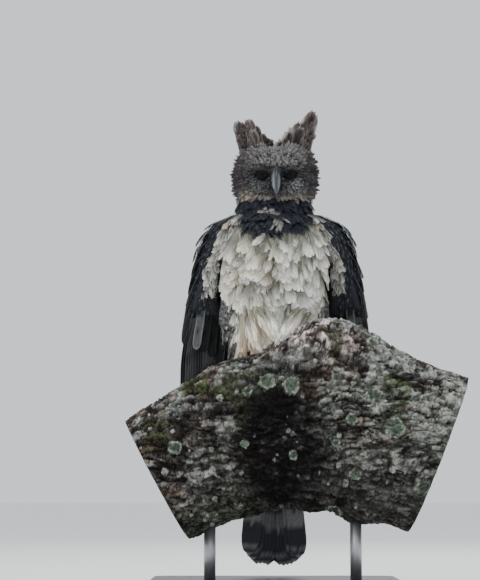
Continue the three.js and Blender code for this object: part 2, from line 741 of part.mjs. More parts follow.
const headJoined = join(
  headCore(),
  [1, -1].flatMap((side) => [lidRing(side), ...crestFeathers(side), ...ruffFeathers(side)]),
);
const headCuts = [1, -1].flatMap((side) => [eyeBall(side, eye.radius + gap), mouthGroove(side)]);
add("head", cut(headJoined, upperBill(gap), lowerBill(gap), headCuts), looks.grey);
add("bill_upper", cut(upperBill(), lowerBill(gap), nostril(1), nostril(-1)), looks.horn);
add("bill_lower", lowerBill(), looks.horn);

for (const [name, side] of Object.entries(sides)) {
  const { thighRoom, foot: toesJoined, rooms } = legs[name];
  const tiers = Object.values(wingTiers).flatMap((tier) => wingTier(side, tier));
  const wing = join(wingCore(side), shoulder(side), tiers);
  add(`eye_${name}`, eyeBall(side, eye.radius), looks.eye);
  add(`wing_${name}`, cut(wing, torsoRoom, neckRoom, headRoom, thighRoom, branchRoom), looks.slate);
  add(`thigh_${name}`, cut(thighSolid(side), torsoRoom, branchRoom, rooms), looks.barred);
  add(`shank_${name}`, cut(shankSolid(side), branchRoom), looks.skin);
  add(`foot_${name}`, toesJoined, looks.skin);
  for (const [toe, sizes] of Object.entries(toes)) {
    add(`claw_${name}_${toe}`, cut(clawSolid(side, sizes), branchRoom), looks.horn);
  }
}
add("tail", cut(join(tailCore(), tailFeathers(), tailCoverts()), torsoRoom, branchRoom), looks.barred);

export default model;
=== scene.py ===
"""The looks of a life-size harpy eagle on a cut length of branch, held by a plain display stand.

Shapes are worked out in millimetres, in the shared frame: +Z up, the bird faces -Y, its own left is +X.
Each feather is a small mesh of barbs or a closed vane, laid in rows over one smooth skin.
"""

import math
from types import SimpleNamespace

import bpy
import numpy as np
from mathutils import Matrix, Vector


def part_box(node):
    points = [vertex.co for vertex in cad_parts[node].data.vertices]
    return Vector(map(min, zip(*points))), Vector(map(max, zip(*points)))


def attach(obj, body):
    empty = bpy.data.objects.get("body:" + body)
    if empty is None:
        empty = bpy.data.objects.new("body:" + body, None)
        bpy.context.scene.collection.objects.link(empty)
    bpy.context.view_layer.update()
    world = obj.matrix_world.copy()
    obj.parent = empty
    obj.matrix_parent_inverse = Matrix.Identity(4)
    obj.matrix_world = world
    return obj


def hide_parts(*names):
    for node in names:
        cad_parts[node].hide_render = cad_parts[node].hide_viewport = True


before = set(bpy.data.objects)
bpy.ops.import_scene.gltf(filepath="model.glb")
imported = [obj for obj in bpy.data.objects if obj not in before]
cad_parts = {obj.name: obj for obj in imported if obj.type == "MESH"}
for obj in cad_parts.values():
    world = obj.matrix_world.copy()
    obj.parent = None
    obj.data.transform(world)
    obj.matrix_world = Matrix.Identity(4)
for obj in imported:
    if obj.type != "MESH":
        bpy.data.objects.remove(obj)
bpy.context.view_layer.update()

MM = 0.001
BODY = "root"
SIDES = {"left": 1, "right": -1}

# Colours, linear
WHITE = (0.80, 0.79, 0.73)
CREAM = (0.66, 0.56, 0.36)
BUFF = (0.42, 0.29, 0.15)
BLACK = (0.008, 0.009, 0.012)
SLATE = (0.026, 0.029, 0.038)
SLATE_EDGE = (0.16, 0.17, 0.20)


# Numbers and noise

def hermite(s, a, b, slope_a, slope_b):
    """A cubic from a to b while s runs from 0 to 1, with these slopes at its ends."""
    s2, s3 = s * s, s * s * s
    return ((2 * s3 - 3 * s2 + 1) * a + (s3 - 2 * s2 + s) * slope_a
            + (3 * s2 - 2 * s3) * b + (s3 - s2) * slope_b)


def through(*pairs):
    """A smooth curve through (t, value) pairs, which never runs past the values it joins."""
    t, value = np.array(pairs, float).T
    step = np.diff(value) / np.diff(t)
    slope = np.zeros(len(t))
    for i in range(1, len(t) - 1):
        before, after = step[i - 1], step[i]
        if before * after > 0:
            slope[i] = 2 * before * after / (before + after)

    def curve(x):
        x = np.clip(np.asarray(x, float), t[0], t[-1])
        i = np.clip(np.searchsorted(t, x, side="right") - 1, 0, len(t) - 2)
        h = t[i + 1] - t[i]
        return hermite((x - t[i]) / h, value[i], value[i + 1], h * slope[i], h * slope[i + 1])

    return curve


def bell(x, middle, width):
    return np.exp(-(((x - middle) / width) ** 2))


def ease(x, low, high):
    s = np.clip((np.asarray(x, float) - low) / (high - low), 0, 1)
    return s * s * (3 - 2 * s)


def mix(a, b, share):
    return a + (b - a) * share


def unit(v):
    return v / np.maximum(np.linalg.norm(v, axis=-1, keepdims=True), 1e-9)


def dot(a, b):
    return np.sum(a * b, axis=-1, keepdims=True)


def lattice(i, j, k, seed):
    """A random value from 0 to 1 for each whole-number cell, the same on every run."""
    h = (i * 374761393 + j * 668265263 + k * 1440662683 + seed * 974711) & 0xFFFFFFFF
    h = ((h ^ (h >> 13)) * 1274126177) & 0xFFFFFFFF
    return ((h ^ (h >> 16)) & 0xFFFFFF) / 0xFFFFFF


def noise(points, size, seed=0):
    """Smooth value noise from 0 to 1 at points in millimetres, with lumps about that size."""
    q = np.asarray(points, float) / size
    cell = np.floor(q).astype(np.int64)
    f = q - cell
    f = f * f * (3 - 2 * f)
    total = 0
    for corner in range(8):
        step = [corner >> axis & 1 for axis in range(3)]
        weight = 1
        for axis in range(3):
            weight = weight * (f[..., axis] if step[axis] else 1 - f[..., axis])
        ijk = [cell[..., axis] + step[axis] for axis in range(3)]
        total = total + weight * lattice(*ijk, seed)
    return total


def fractal(points, size, octaves=3, seed=0):
    """Noise in layers, each half the size of the one before and weaker."""
    total, weight, norm = 0, 1.0, 0
    for octave in range(octaves):
        total = total + weight * noise(points, size / 2 ** octave, seed + 17 * octave)
        norm += weight
        weight *= 0.55
    return total / norm


def veins(points, size, octaves, seed):
    """Noise that falls to 0 along wandering lines."""
    return np.abs(fractal(points, size, octaves, seed) - 0.5) * 2


# Meshes

def tint_mesh(mesh, tint):
    """Keeps a colour for each point of a mesh, which its material reads."""
    layer = mesh.color_attributes.new(name="Tint", type="FLOAT_COLOR", domain="POINT")
    rgba = np.concatenate([np.clip(tint, 0, 1), np.ones((len(tint), 1))], axis=1)
    layer.data.foreach_set("color", rgba.astype(np.float32).ravel())


def build_mesh(name, points, faces, look, tint=None, bake=None, vane=None, smooth=True):
    """One object from points in mm and faces of three or four corners."""
    mesh = bpy.data.meshes.new(name)
    faces = np.asarray(faces, np.int32)
    corners = faces.shape[1]
    mesh.vertices.add(len(points))
    mesh.vertices.foreach_set("co", (np.asarray(points) * MM).astype(np.float32).ravel())
    mesh.loops.add(faces.size)
    mesh.loops.foreach_set("vertex_index", faces.ravel())
    mesh.polygons.add(len(faces))
    mesh.polygons.foreach_set("loop_start", np.arange(0, faces.size, corners, dtype=np.int32))
    mesh.polygons.foreach_set("loop_total", np.full(len(faces), corners, np.int32))
    mesh.polygons.foreach_set("use_smooth", np.full(len(faces), smooth))
    mesh.update(calc_edges=True)
    if tint is not None:
        tint_mesh(mesh, tint)
    for label, uv in (("OFBake", bake), ("Vane", vane)):
        if uv is not None:
            layer = mesh.uv_layers.new(name=label)
            layer.data.foreach_set("uv", np.asarray(uv)[faces.ravel()].astype(np.float32).ravel())
    mesh.materials.append(look)
    obj = bpy.data.objects.new(name, mesh)
    bpy.context.scene.collection.objects.link(obj)
    return obj


def place(obj, slot, *nodes):
    """Hangs an object on the body and hides the CAD nodes it stands for. The slot is not used."""
    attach(obj, BODY)
    if nodes:
        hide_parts(*nodes)


def grid_faces(rows, columns, closed=False):
    """Quads of a grid of points, row by row, closed round each row if asked."""
    i = np.arange(rows - 1)[:, None]
    j = np.arange(columns if closed else columns - 1)[None, :]
    k = (j + 1) % columns
    corners = [i * columns + j, i * columns + k, (i + 1) * columns + k, (i + 1) * columns + j]
    return np.stack([np.broadcast_to(c, (rows - 1, j.shape[1])) for c in corners], -1).reshape(-1, 4)


def rim_faces(rows, columns):
    """Quads that close the edge between a grid of points and a like grid that follows it."""
    n = rows * columns
    rim = list(range(columns)) + [i * columns + columns - 1 for i in range(1, rows)]
    rim += [n - 1 - j for j in range(1, columns)] + [i * columns for i in range(rows - 2, 0, -1)]
    rim = np.array(rim)
    after = np.roll(rim, -1)
    return np.stack([rim, after, after + n, rim + n], -1)


def capped(rings):
    """Points and quads of a body through closed rings, its ends drawn together."""
    rings = np.asarray(rings, float)
    first, last = rings[:1].mean(1, keepdims=True), rings[-1:].mean(1, keepdims=True)
    ends = [np.broadcast_to(e, rings[:1].shape) for e in (first, last)]
    rings = np.concatenate([ends[0], rings, ends[1]])
    return rings.reshape(-1, 3), grid_faces(rings.shape[0], rings.shape[1], closed=True)


def joined(bodies):
    """Several bodies, each of points and faces, as one."""
    starts = np.cumsum([0] + [len(points) for points, _ in bodies[:-1]])
    faces = [faces + start for (_, faces), start in zip(bodies, starts)]
    return np.concatenate([points for points, _ in bodies]), np.concatenate(faces)


def limb(stations, rings, sectors, shape=None):
    """A tapering tube through (x, y, z, half-width, half-depth) stations, as the part's source makes it."""
    stations = np.array(stations, float)
    t = np.linspace(0, 1, len(stations))
    dense = np.linspace(0, 1, rings)
    path = catmull(stations[:, :3], dense)
    along = unit(np.gradient(path, axis=0))
    wide, deep = (through(*zip(t, stations[:, k]))(dense) for k in (3, 4))
    turn = np.linspace(0, 2 * np.pi, sectors, endpoint=False)
    across = np.array([1.0, 0.0, 0.0])
    loops = []
    for i in range(rings):
        across = unit(across - along[i] * np.dot(across, along[i]))
        other = np.cross(along[i], across)
        x, y = np.cos(turn), np.sin(turn)
        if shape is not None:
            x, y = shape(x, y)
        loops.append(path[i] + np.outer(x * wide[i], across) + np.outer(y * deep[i], other))
    return np.array(loops)


def catmull(points, t):
    """Centripetal Catmull-Rom points at shares t of an open line, close to the source's curves."""
    p = np.asarray(points, float)
    n = len(p)
    s = np.asarray(t) * (n - 1)
    i = np.clip(np.floor(s).astype(int), 0, n - 2)
    before = np.where((i > 0)[:, None], p[np.maximum(i - 1, 0)], 2 * p[0] - p[1])
    after = np.where((i < n - 2)[:, None], p[np.minimum(i + 2, n - 1)], 2 * p[-1] - p[-2])
    a, b = p[i], p[i + 1]
    da, db, dc = [np.maximum(np.linalg.norm(v, axis=1, keepdims=True) ** 0.5, 1e-4)
                  for v in (a - before, b - a, after - b)]
    slope_a = ((a - before) / da - (b - before) / (da + db) + (b - a) / db) * db
    slope_b = ((b - a) / db - (after - a) / (db + dc) + (after - b) / dc) * db
    return hermite((s - i)[:, None], a, b, slope_a, slope_b)


# Materials

def material(name, roughness=0.7, **inputs):
    """A Principled material with its socket values set, and its nodes for building on."""
    made = bpy.data.materials.new(name)
    made.use_nodes = True
    nodes, links = made.node_tree.nodes, made.node_tree.links
    shader = nodes["Principled BSDF"]
    shader.inputs["Roughness"].default_value = roughness
    for key, value in inputs.items():
        shader.inputs[key.replace("_", " ")].default_value = value
    return made, nodes, links, shader


def node(nodes, kind, **values):
    """A new node with its sockets or settings given by name."""
    made = nodes.new(kind)
    for key, value in values.items():
        if key in made.inputs:
            made.inputs[key].default_value = value
        else:
            setattr(made, key, value)
    return made


def object_noise(nodes, links, scale, detail, stretch=None):
    """A noise texture's value in the object's own space, squeezed along an axis where asked."""
    place_at = node(nodes, "ShaderNodeTexCoord").outputs["Object"]
    if stretch:
        turned = node(nodes, "ShaderNodeMapping", Scale=stretch)
        links.new(place_at, turned.inputs["Vector"])
        place_at = turned.outputs["Vector"]
    made = node(nodes, "ShaderNodeTexNoise", Scale=float(scale), Detail=detail)
    links.new(place_at, made.inputs["Vector"])
    return made.outputs["Fac"]


def ranged(nodes, links, value, low, high):
    """A value from 0 to 1 as one from low to high."""
    made = node(nodes, "ShaderNodeMapRange", **{"To Min": low, "To Max": high})
    links.new(value, made.inputs["Value"])
    return made.outputs["Result"]


def relief(nodes, links, shader, height, strength, distance):
    """Bump on a shader from a height between 0 and 1."""
    made = node(nodes, "ShaderNodeBump", Strength=strength, Distance=distance)
    links.new(height, made.inputs["Height"])
    links.new(made.outputs["Normal"], shader.inputs["Normal"])


def tinted(name, roughness=0.7, grain=(350, 0.25), bump=0.15, bump_scale=900, barbs=0.0, shine=0.5,
           depth=0.0006, detail=4.0):
    """A material of the mesh's own tint under a fine grain (scale, strength), with barb lines where asked."""
    made, nodes, links, shader = material(name, roughness)
    shader.inputs["Specular IOR Level"].default_value = shine
    tint = node(nodes, "ShaderNodeAttribute", attribute_name="Tint")
    fine = object_noise(nodes, links, grain[0], detail)
    scaled = node(nodes, "ShaderNodeVectorMath", operation="MULTIPLY")
    links.new(tint.outputs["Color"], scaled.inputs[0])
    links.new(ranged(nodes, links, fine, 1 - grain[1], 1 + grain[1]), scaled.inputs[1])
    links.new(scaled.outputs["Vector"], shader.inputs["Base Color"])
    height = object_noise(nodes, links, bump_scale, detail)
    if barbs:
        uv = node(nodes, "ShaderNodeUVMap", uv_map="Vane")
        waves = node(nodes, "ShaderNodeTexWave", Scale=barbs, Distortion=1.5, Detail=2.0)
        waves.bands_direction = "DIAGONAL"
        links.new(uv.outputs["UV"], waves.inputs["Vector"])
        height = waves.outputs["Fac"]
    relief(nodes, links, shader, height, bump, depth)
    return made


down_look = tinted("soft_feather", 0.9, grain=(420, 0.14), bump=0.1, shine=0.15)
dark_down_look = tinted("dark_feather", 0.55, grain=(420, 0.35), bump=0.1, shine=0.09)
head_look = tinted("head_feather", 0.8, grain=(420, 0.3), bump=0.1, shine=0.15)
vane_look = tinted("firm_vane", 0.5, grain=(160, 0.3), bump=0.14, barbs=60.0, shine=0.18)
skin_look = tinted("plucked_skin", 0.8, grain=(260, 0.3), bump=0.3, shine=0.2)
face_look = tinted("bare_face_skin", 0.6, grain=(500, 0.35), bump=0.5, bump_scale=1400, shine=0.08)
scale_look = tinted("scaled_skin", 0.5, grain=(300, 0.25), bump=0.4, bump_scale=700)
horn_look = tinted("horn", 0.27, grain=(240, 0.25), bump=0.06, bump_scale=500, shine=0.6)
bark_look = tinted("bark", 0.95, grain=(170, 1.0), bump=1.0, bump_scale=130, shine=0.1, depth=0.005,
                   detail=10.0)
eye_look = tinted("wet_eye", 0.05, grain=(600, 0.2), bump=0.0, shine=0.09)
wood_look = tinted("cut_wood", 0.8, grain=(200, 0.2), bump=0.4, bump_scale=300, shine=0.3)


# Surfaces that feathers grow on

class Surface:
    """A curved sheet point(a, b), with its tangents and its outward normal."""

    def __init__(self, point, step=(0.5, 0.004), outward=1):
        self.point = point
        self.step = step
        self.outward = outward

    def frame(self, a, b):
        da, db = self.step
        p = self.point(a, b)
        ta = (self.point(a + da, b) - self.point(a - da, b)) / (2 * da)
        tb = (self.point(a, b + db) - self.point(a, b - db)) / (2 * db)
        return p, ta, tb, unit(np.cross(ta, tb)) * self.outward


TORSO_LOW, TORSO_HIGH = 436, 790
torso_y = through((436, 116), (455, 111), (480, 102), (520, 88), (560, 71), (620, 52), (690, 33), (740, 22),
                  (800, 10))
torso_wide = through((436, 22), (455, 46), (480, 62), (512, 78), (560, 96), (620, 106), (690, 112),
                     (740, 107), (770, 88), (790, 66))
torso_front = through((436, 12), (455, 26), (480, 38), (500, 44), (514, 78), (560, 90), (620, 95), (690, 95),
                      (740, 88), (770, 72), (790, 56))
torso_back = through((436, 13), (455, 24), (480, 36), (520, 48), (560, 57), (620, 63), (690, 62), (740, 58),
                     (770, 48), (790, 38))


def torso_point(z, turn, inset=0.0):
    """The torso's surface at a height and a turn from straight in front, as in the part's source."""
    front, side = np.cos(turn), np.sin(turn)
    deep = np.where(front > 0, torso_front(z), torso_back(z))
    power = 2.25
    r = (np.abs(side / torso_wide(z)) ** power + np.abs(front / deep) ** power) ** (-1 / power) - inset
    return np.stack(np.broadcast_arrays(r * side, torso_y(z) - r * front, z), -1)


neck_y = through((745, 15), (785, 19), (820, 22), (856, 24))
neck_wide = through((745, 84), (785, 82), (820, 74), (856, 56))
neck_deep = through((745, 69), (785, 57), (820, 46), (856, 38))


def neck_point(z, turn, inset=0.0):
    wide, deep = neck_wide(z) - inset, neck_deep(z) - inset
    return np.stack(np.broadcast_arrays(1.5 + wide * np.sin(turn), neck_y(z) - deep * np.cos(turn), z), -1)


HEAD = np.array([2.0, 12.0, 864.0])
head_size = {"wide": 79, "front": 60, "back": 66, "up": 67, "down": 61}
EYE = {"radius": 12.5, "x": 26.5, "y": -42, "z": 868.5, "outward": math.radians(21)}


def head_point(tip, roll, inset=0.0):
    """The head's surface by its angle from straight in front and its roll about the bill from the crown."""
    spread = np.sin(tip)
    d = np.stack(np.broadcast_arrays(spread * np.sin(roll), -np.cos(tip), spread * np.cos(roll)), -1)
    size = np.stack([
        np.full(d.shape[:-1], float(head_size["wide"])),
        np.where(d[..., 1] < 0, head_size["front"], head_size["back"]),
        np.where(d[..., 2] > 0, head_size["up"], head_size["down"]),
    ], -1)
    power = 2.3
    r = np.sum(np.abs(d / size) ** power, -1) ** (-1 / power)
    p = HEAD + d * r[..., None]
    side = np.abs(p[..., 0] - HEAD[0])
    z = p[..., 2]
    brow = 7 * bell(side, 28, 17) * bell(z, 887, 7)
    socket = 7 * bell(side, 29, 13) * bell(z, 869, 9)
    muzzle = 9 * bell(side, 0, 15) * bell(z, 862, 16)
    cheek = 4 * bell(side, 52, 20) * bell(z, 842, 18)
    chin = 5 * bell(side, 0, 18) * bell(z, 828, 9)
    r = r + np.where(p[..., 1] < 20, brow - socket + muzzle + cheek - chin, 0) - inset
    return HEAD + d * r[..., None]


NOD = math.radians(5.5)


def nod(p):
    """Tips the head's pieces forward about its middle."""
    rel = np.asarray(p, float) - HEAD
    y = rel[..., 1] * math.cos(NOD) - rel[..., 2] * math.sin(NOD)
    z = rel[..., 2] * math.cos(NOD) + rel[..., 1] * math.sin(NOD)
    return HEAD + np.stack([rel[..., 0], y, z], -1)


def eye_place(side):
    return np.array([HEAD[0] + side * EYE["x"], EYE["y"], EYE["z"]])


def eye_axis(side):
    return unit(np.array([side * math.sin(EYE["outward"]), -math.cos(EYE["outward"]), -0.06]))


BROW_SLOPE = math.radians(10)


def eye_frame(side):
    """The eye's axis, the direction to its outer corner and the one up, tilted so that the brow slopes."""
    axis = eye_axis(side)
    out = unit(np.cross([0, 0, 1], axis)) * side
    high = np.cross(axis, out) * side
    cos, sin = math.cos(BROW_SLOPE), math.sin(BROW_SLOPE)
    return axis, out * cos + high * sin, high * cos - out * sin


wing_wide = through((245, 176), (340, 193), (430, 200), (512, 197), (570, 186), (600, 180), (650, 167),
                    (700, 150), (733, 136), (765, 114), (785, 84))
wing_y = through((245, 152), (340, 139), (430, 120), (520, 90), (600, 56), (680, 24), (760, -2))
wing_arc = through((245, 88), (340, 125), (430, 160), (520, 174), (600, 176), (690, 168), (760, 140),
                   (790, 100))
wing_front_turn = through((245, 60), (430, 50), (600, 35), (690, 20), (760, 4), (790, -4))
wing_rear_turn = through((245, 84), (600, 84), (790, 82))


def wing_turn(z, v):
    return np.radians(mix(wing_front_turn(z), wing_rear_turn(z), v))


def wing_edge(side, z):
    """How far the wing's front edge lies from the middle: the bird's left wing stands 8 mm further out."""
    return wing_wide(z) + side * 4 + 4


def wing_point(side, z, v, out=0.0):
    """The wing's sheet at a height, v from its front edge at 0 to its rear edge at 1, raised out from it."""
    radius = wing_arc(z) / (wing_turn(z, 1) - wing_turn(z, 0))
    first, turn = wing_turn(z, 0), wing_turn(z, v)
    x = side * (wing_edge(side, z) - np.cos(first) * radius + np.cos(turn) * (radius + out))
    y = wing_y(z) - np.sin(first) * radius + np.sin(turn) * (radius + out)
    return np.stack(np.broadcast_arrays(x, y, z), -1)


THIGH = [(50, 24, 650, 30, 34), (68, 44, 612, 42, 48), (76, 66, 566, 42, 44), (64, 80, 527, 22, 25)]
THIGH_RINGS, THIGH_SECTORS = 40, 48


def thigh_surface(side):
    """The thigh as a surface by share of its length and turn about it, read between its loops."""
    loops = limb([(side * x, *rest) for x, *rest in THIGH], THIGH_RINGS, THIGH_SECTORS)

    def point(a, b):
        i = np.clip(a, 0, 1) * (THIGH_RINGS - 1.001)
        j = (b / (2 * np.pi) % 1) * THIGH_SECTORS
        i0, j0 = np.floor(i).astype(int), np.floor(j).astype(int)
        fi, fj = (i - i0)[..., None], (j - j0)[..., None]
        j1 = (j0 + 1) % THIGH_SECTORS
        j0 = j0 % THIGH_SECTORS
        low = mix(loops[i0, j0], loops[i0, j1], fj)
        high = mix(loops[i0 + 1, j0], loops[i0 + 1, j1], fj)
        return mix(low, high, fi)

    return Surface(point, (0.01, 0.04), -1)


# Feathers

def barbed(barbs, quill=4, blunt=0.6, base=0.5, droop=0.1):
    """A soft feather of separate barbs on a thin quill, with the barbs' tips along a rounded outline.

    Gives each point's share along and across, its barb, how freely it frays, and the triangles.
    """
    def outline(u):
        turn = u * math.pi / 2
        wide = base + (1 - base) * min(1.0, u / 0.4) ** 0.7
        return 0.1 + 0.9 * math.sin(turn), wide * math.cos(turn) ** blunt

    quill_length, quill_half, first_barb = 0.93, 0.035, 0.02
    s, x, barb, free, faces = [], [], [], [], []
    for i in range(quill + 1):
        s += [quill_length * i / quill] * 2
        x += [-quill_half, quill_half]
        barb += [0, 0]
        free += [0, 0]
        if i:
            a = 2 * i - 2
            faces += [(a, a + 2, a + 3), (a, a + 3, a + 1)]
    pitch = 0.88 / barbs
    for side in (-1, 1):
        for k in range(barbs):
            first = len(s)
            edges = [(first_barb + pitch * (k + wide), outline((k + 0.92 * wide) / barbs)) for wide in (0, 1)]
            for share, slack in ((0, 0), (0.5, 0.35), (1, 1)):
                for start, (along, across) in edges:
                    s.append(mix(start, along, share) - droop * share * (1 - share))
                    x.append(side * across * share)
                    barb.append(1 + k + (barbs if side > 0 else 0))
                    free.append(slack)
            for a in (first, first + 2):
                quad = (a, a + 1, a + 3, a + 2)[::side]
                faces += [quad[:3], (quad[0], quad[2], quad[3])]
    return np.array(s), np.array(x), np.array(barb), np.array(free, float), np.array(faces)


def bladed(rows, columns, tip=0.16, base=0.3):
    """A firm vane as a closed sheet.

    Gives each point's share along and across, its face (1 outside, -1 inside), the outline's width and quads.
    """
    u = np.linspace(0, 1, rows) ** 0.9
    v = np.linspace(-1, 1, columns)
    v = np.sign(v) * np.abs(v) ** 0.75
    rounding = np.sqrt(np.clip(1 - ((u - (1 - tip)) / tip).clip(0) ** 2, 0, 1))
    outline = np.minimum(mix(base, 1, ease(u, 0, 0.25)), rounding)
    n = rows * columns
    faces = grid_faces(rows, columns)
    faces = np.concatenate([faces[:, ::-1], faces + n, rim_faces(rows, columns)])
    face = np.repeat([1.0, -1.0], n)
    s, wide = np.tile(np.repeat([u, outline], columns, axis=1), 2)
    return s, np.tile(v, 2 * rows), face, wide, faces


BARBED = {
    "tiny": barbed(4, quill=2),
    "small": barbed(7, quill=3),
    "slim": barbed(8, quill=3, blunt=0.8, base=0.35),
    "breast": barbed(12),
    "puff": barbed(26, quill=6, blunt=0.42, base=0.6),
    "crest": barbed(34, quill=8, blunt=0.42, base=0.6, droop=0.06),
    "plume": barbed(22, quill=8, blunt=0.55, base=0.4, droop=0.16),
}


PAST_TIP = 1.2


def all_over(colour, at_s):
    """One colour per feather, spread over all its points."""
    return np.broadcast_to(colour[:, None], (*at_s.shape, 3)).copy()


def paths(surface, a, b, length, swing=0.0, down=-1):
    """Each feather's line over the surface, from root to a little past its tip: shares, places, normals."""
    _, ta, tb, _ = surface.frame(a, b)
    ga, gb = np.linalg.norm(ta, axis=-1).clip(0.9), np.linalg.norm(tb, axis=-1).clip(0.9)
    t = np.linspace(0, PAST_TIP, 8)
    length, swing = (np.broadcast_to(np.asarray(v, float), a.shape) for v in (length, swing))
    run = length[:, None] * t
    path_a = a[:, None] + down * run * (np.cos(swing) / ga)[:, None]
    path_b = b[:, None] + run * (np.sin(swing) / gb)[:, None]
    p, _, _, n = surface.frame(path_a, path_b)
    return t, p, n


def straight_paths(root, tip, normal):
    """Each feather's line straight from root to tip and a little past it, with one normal."""
    t = np.linspace(0, PAST_TIP, 6)
    p = root[:, None] + (tip - root)[:, None] * t[None, :, None]
    return t, p, np.broadcast_to(np.asarray(normal, float)[..., None, :], p.shape)


BAKE_PATCH = 0.003


class Coat:
    """Gathers many feathers into one piece."""

    def __init__(self, seed):
        self.rng = np.random.default_rng(seed)
        self.parts = []
        self.count = 0

    def add(self, shape, track, bake, colour, half, root=-5.0, tip=1.0, curl=0.0, cup=0.12, fray=0.16,
            lift=0.8, vary=0.18, strands=0.13):
        """Feathers along their lines, rising from depth root to height tip, with that half-width."""
        s, x, barb, free, faces = BARBED[shape]
        t, p, normal = track
        n = len(p)
        length = np.linalg.norm(p[:, -1] - p[:, 0], axis=-1)[:, None] / t[-1]
        each = lambda value: np.broadcast_to(np.asarray(value, float), (n,))[:, None]
        half, root, tip, curl = (each(value) for value in (half, root, tip, curl))
        wild = self.rng.normal(size=(3, n, barb.max() + 1))[:, :, barb] * free * fray
        at_s = s + 0.3 * wild[0]
        at_x = x * (1 + wild[1])
        place_p, place_n = self.along(t, p, at_s), self.along(t, normal, at_s)
        ahead = unit(self.along(t, p, at_s + 0.06) - self.along(t, p, at_s - 0.06))
        place_n = unit(place_n - ahead * dot(place_n, ahead))
        across = np.cross(place_n, ahead)
        rise = root + (tip - root) * np.clip(at_s, 0, 1.2) ** lift + curl * length * at_s ** 2
        rise = rise - cup * half * at_x ** 2 + 0.3 * wild[2] * half
        points = place_p + place_n * rise[..., None] + across * (half * at_x)[..., None]
        tone = self.rng.uniform(1 - vary, 1 + vary, (n, 1, 1))
        barb_tone = self.rng.normal(size=(n, barb.max() + 1))[:, barb].clip(-2, 2)
        tone = tone * (1 + strands * barb_tone)[..., None]
        self.push(points, faces, colour(p[:, 0], at_s, at_x) * tone, bake, s, x)

    def along(self, t, values, at_s):
        """Values given at stations t, read at each point's own share."""
        i = np.clip(at_s / (t[1] - t[0]), 0, len(t) - 1.001)
        i0 = i.astype(int)
        f = (i - i0)[..., None]
        rows = np.arange(len(values))[:, None]
        return values[rows, i0] * (1 - f) + values[rows, i0 + 1] * f

    def push(self, points, faces, tint, centre, s, x):
        """Keeps feathers, each with a small patch of the map about its root's place."""
        n, v = points.shape[:2]
        index = (np.arange(n) * v)[:, None, None] + faces[None] + self.count
        spread = np.stack([np.clip(s, 0, 1) - 0.5, np.clip(x, -1, 1) * 0.5], -1) * BAKE_PATCH
        uv = centre[:, None, :] + spread[None]
        local = np.broadcast_to(np.stack([s, x * 0.5 + 0.5], -1)[None], (n, v, 2))
        self.parts.append((points.reshape(-1, 3), index.reshape(-1, faces.shape[1]), tint.reshape(-1, 3),
                           uv.reshape(-1, 2), local.reshape(-1, 2)))
        self.count += n * v

    def finish(self, name, look, move=None):
        points, faces, tint, uv, local = [np.concatenate(column) for column in zip(*self.parts)]
        points = move(points) if move else points
        return build_mesh(name, points, faces, look, tint, bake=uv, vane=local)


def vane_points(place_at, normal_at, tilt_at, half, shape, thick=0.9, camber=0.1):
    """Points of one firm feather: place_at(s) gives its middle line, tilted about that line."""
    s, x, face, wide, _ = shape
    p = place_at(s)
    ahead = unit(place_at(s + 0.02) - place_at(s - 0.02))
    n = normal_at(s)
    n = unit(n - ahead * dot(n, ahead))
    cos, sin = np.cos(tilt_at(s))[..., None], np.sin(tilt_at(s))[..., None]
    c = np.cross(n, ahead)
    n, c = n * cos + np.cross(ahead, n) * sin, c * cos + np.cross(ahead, c) * sin
    across = half * wide * x
    sheet = thick * mix(0.5, 0.28, s) * np.sqrt(np.clip(1.05 - np.abs(x) ** 4, 0.05, 1))
    shaft = 0.5 * bell(x, 0, 0.07)
    rise = face * (sheet + shaft) - camber * half * wide * x * x
    return p + c * across[..., None] + n * rise[..., None]


FIRM = {
    "flight": bladed(34, 11, tip=0.12, base=0.35),
    "covert": bladed(14, 9, tip=0.34, base=0.4),
    "scale": bladed(8, 7, tip=0.45, base=0.5),
    "crest": bladed(30, 13, tip=0.14, base=0.6),
}


class Vanes(Coat):
    """Gathers firm feathers, each with a patch of its own on the map."""

    def add_vane(self, shape, points, tint, index, total):
        s, x, face, _, faces = FIRM[shape]
        columns = 12
        rows = math.ceil(total / columns)
        cell = np.array([index % columns, index // columns])
        local = np.stack([np.clip(x * 0.5 + 0.5, 0, 1) * 0.45 + 0.5 * (face < 0), s], -1)
        uv = (cell + local * 0.94) / np.array([columns, max(rows, columns)])
        vane = np.stack([s, x * 0.5 + 0.5], -1)
        self.parts.append((points, faces + self.count, tint, uv, vane))
        self.count += len(points)


def rows_of(rng, a_rows, b_low, b_high, spacing, around, jitter=0.3):
    """Staggered roots in rows a, with b spaced that many mm apart on a sheet around(a) mm wide per unit."""
    step = abs(a_rows[1] - a_rows[0])
    span = b_high - b_low
    a_all, b_all = [], []
    for i, a in enumerate(a_rows):
        count = max(2, int(round(around(a) * span / spacing)))
        b = b_low + (np.arange(count) + (0.25 if i % 2 else 0.75)) * span / count
        a_all.append(a + rng.normal(size=count) * jitter * step * 0.5)
        b_all.append(b + rng.normal(size=count) * jitter * span / count)
    return np.concatenate(a_all), np.concatenate(b_all)


def paint(shape, colour):
    return np.broadcast_to(np.array(colour, float), (*shape, 3)).copy()


def blend_to(base, colour, share):
    return base + (np.array(colour, float) - base) * share[..., None]


def layered(base, *layers):
    """A colour with others laid over it in turn, each with its share at every point."""
    for colour, share in layers:
        base = blend_to(base, colour, share)
    return base


# Markings, worked out from places on the bird, in mm

collar_edge = through((-110, 780), (-78, 772), (-62, 741), (-34, 720), (8, 726), (45, 733), (69, 748),
                      (84, 776), (110, 785))


def white_reach(z):
    """How far the belly's white reaches to the bird's right: it draws in low down."""
    return mix(72, 112, ease(z, 612, 705))


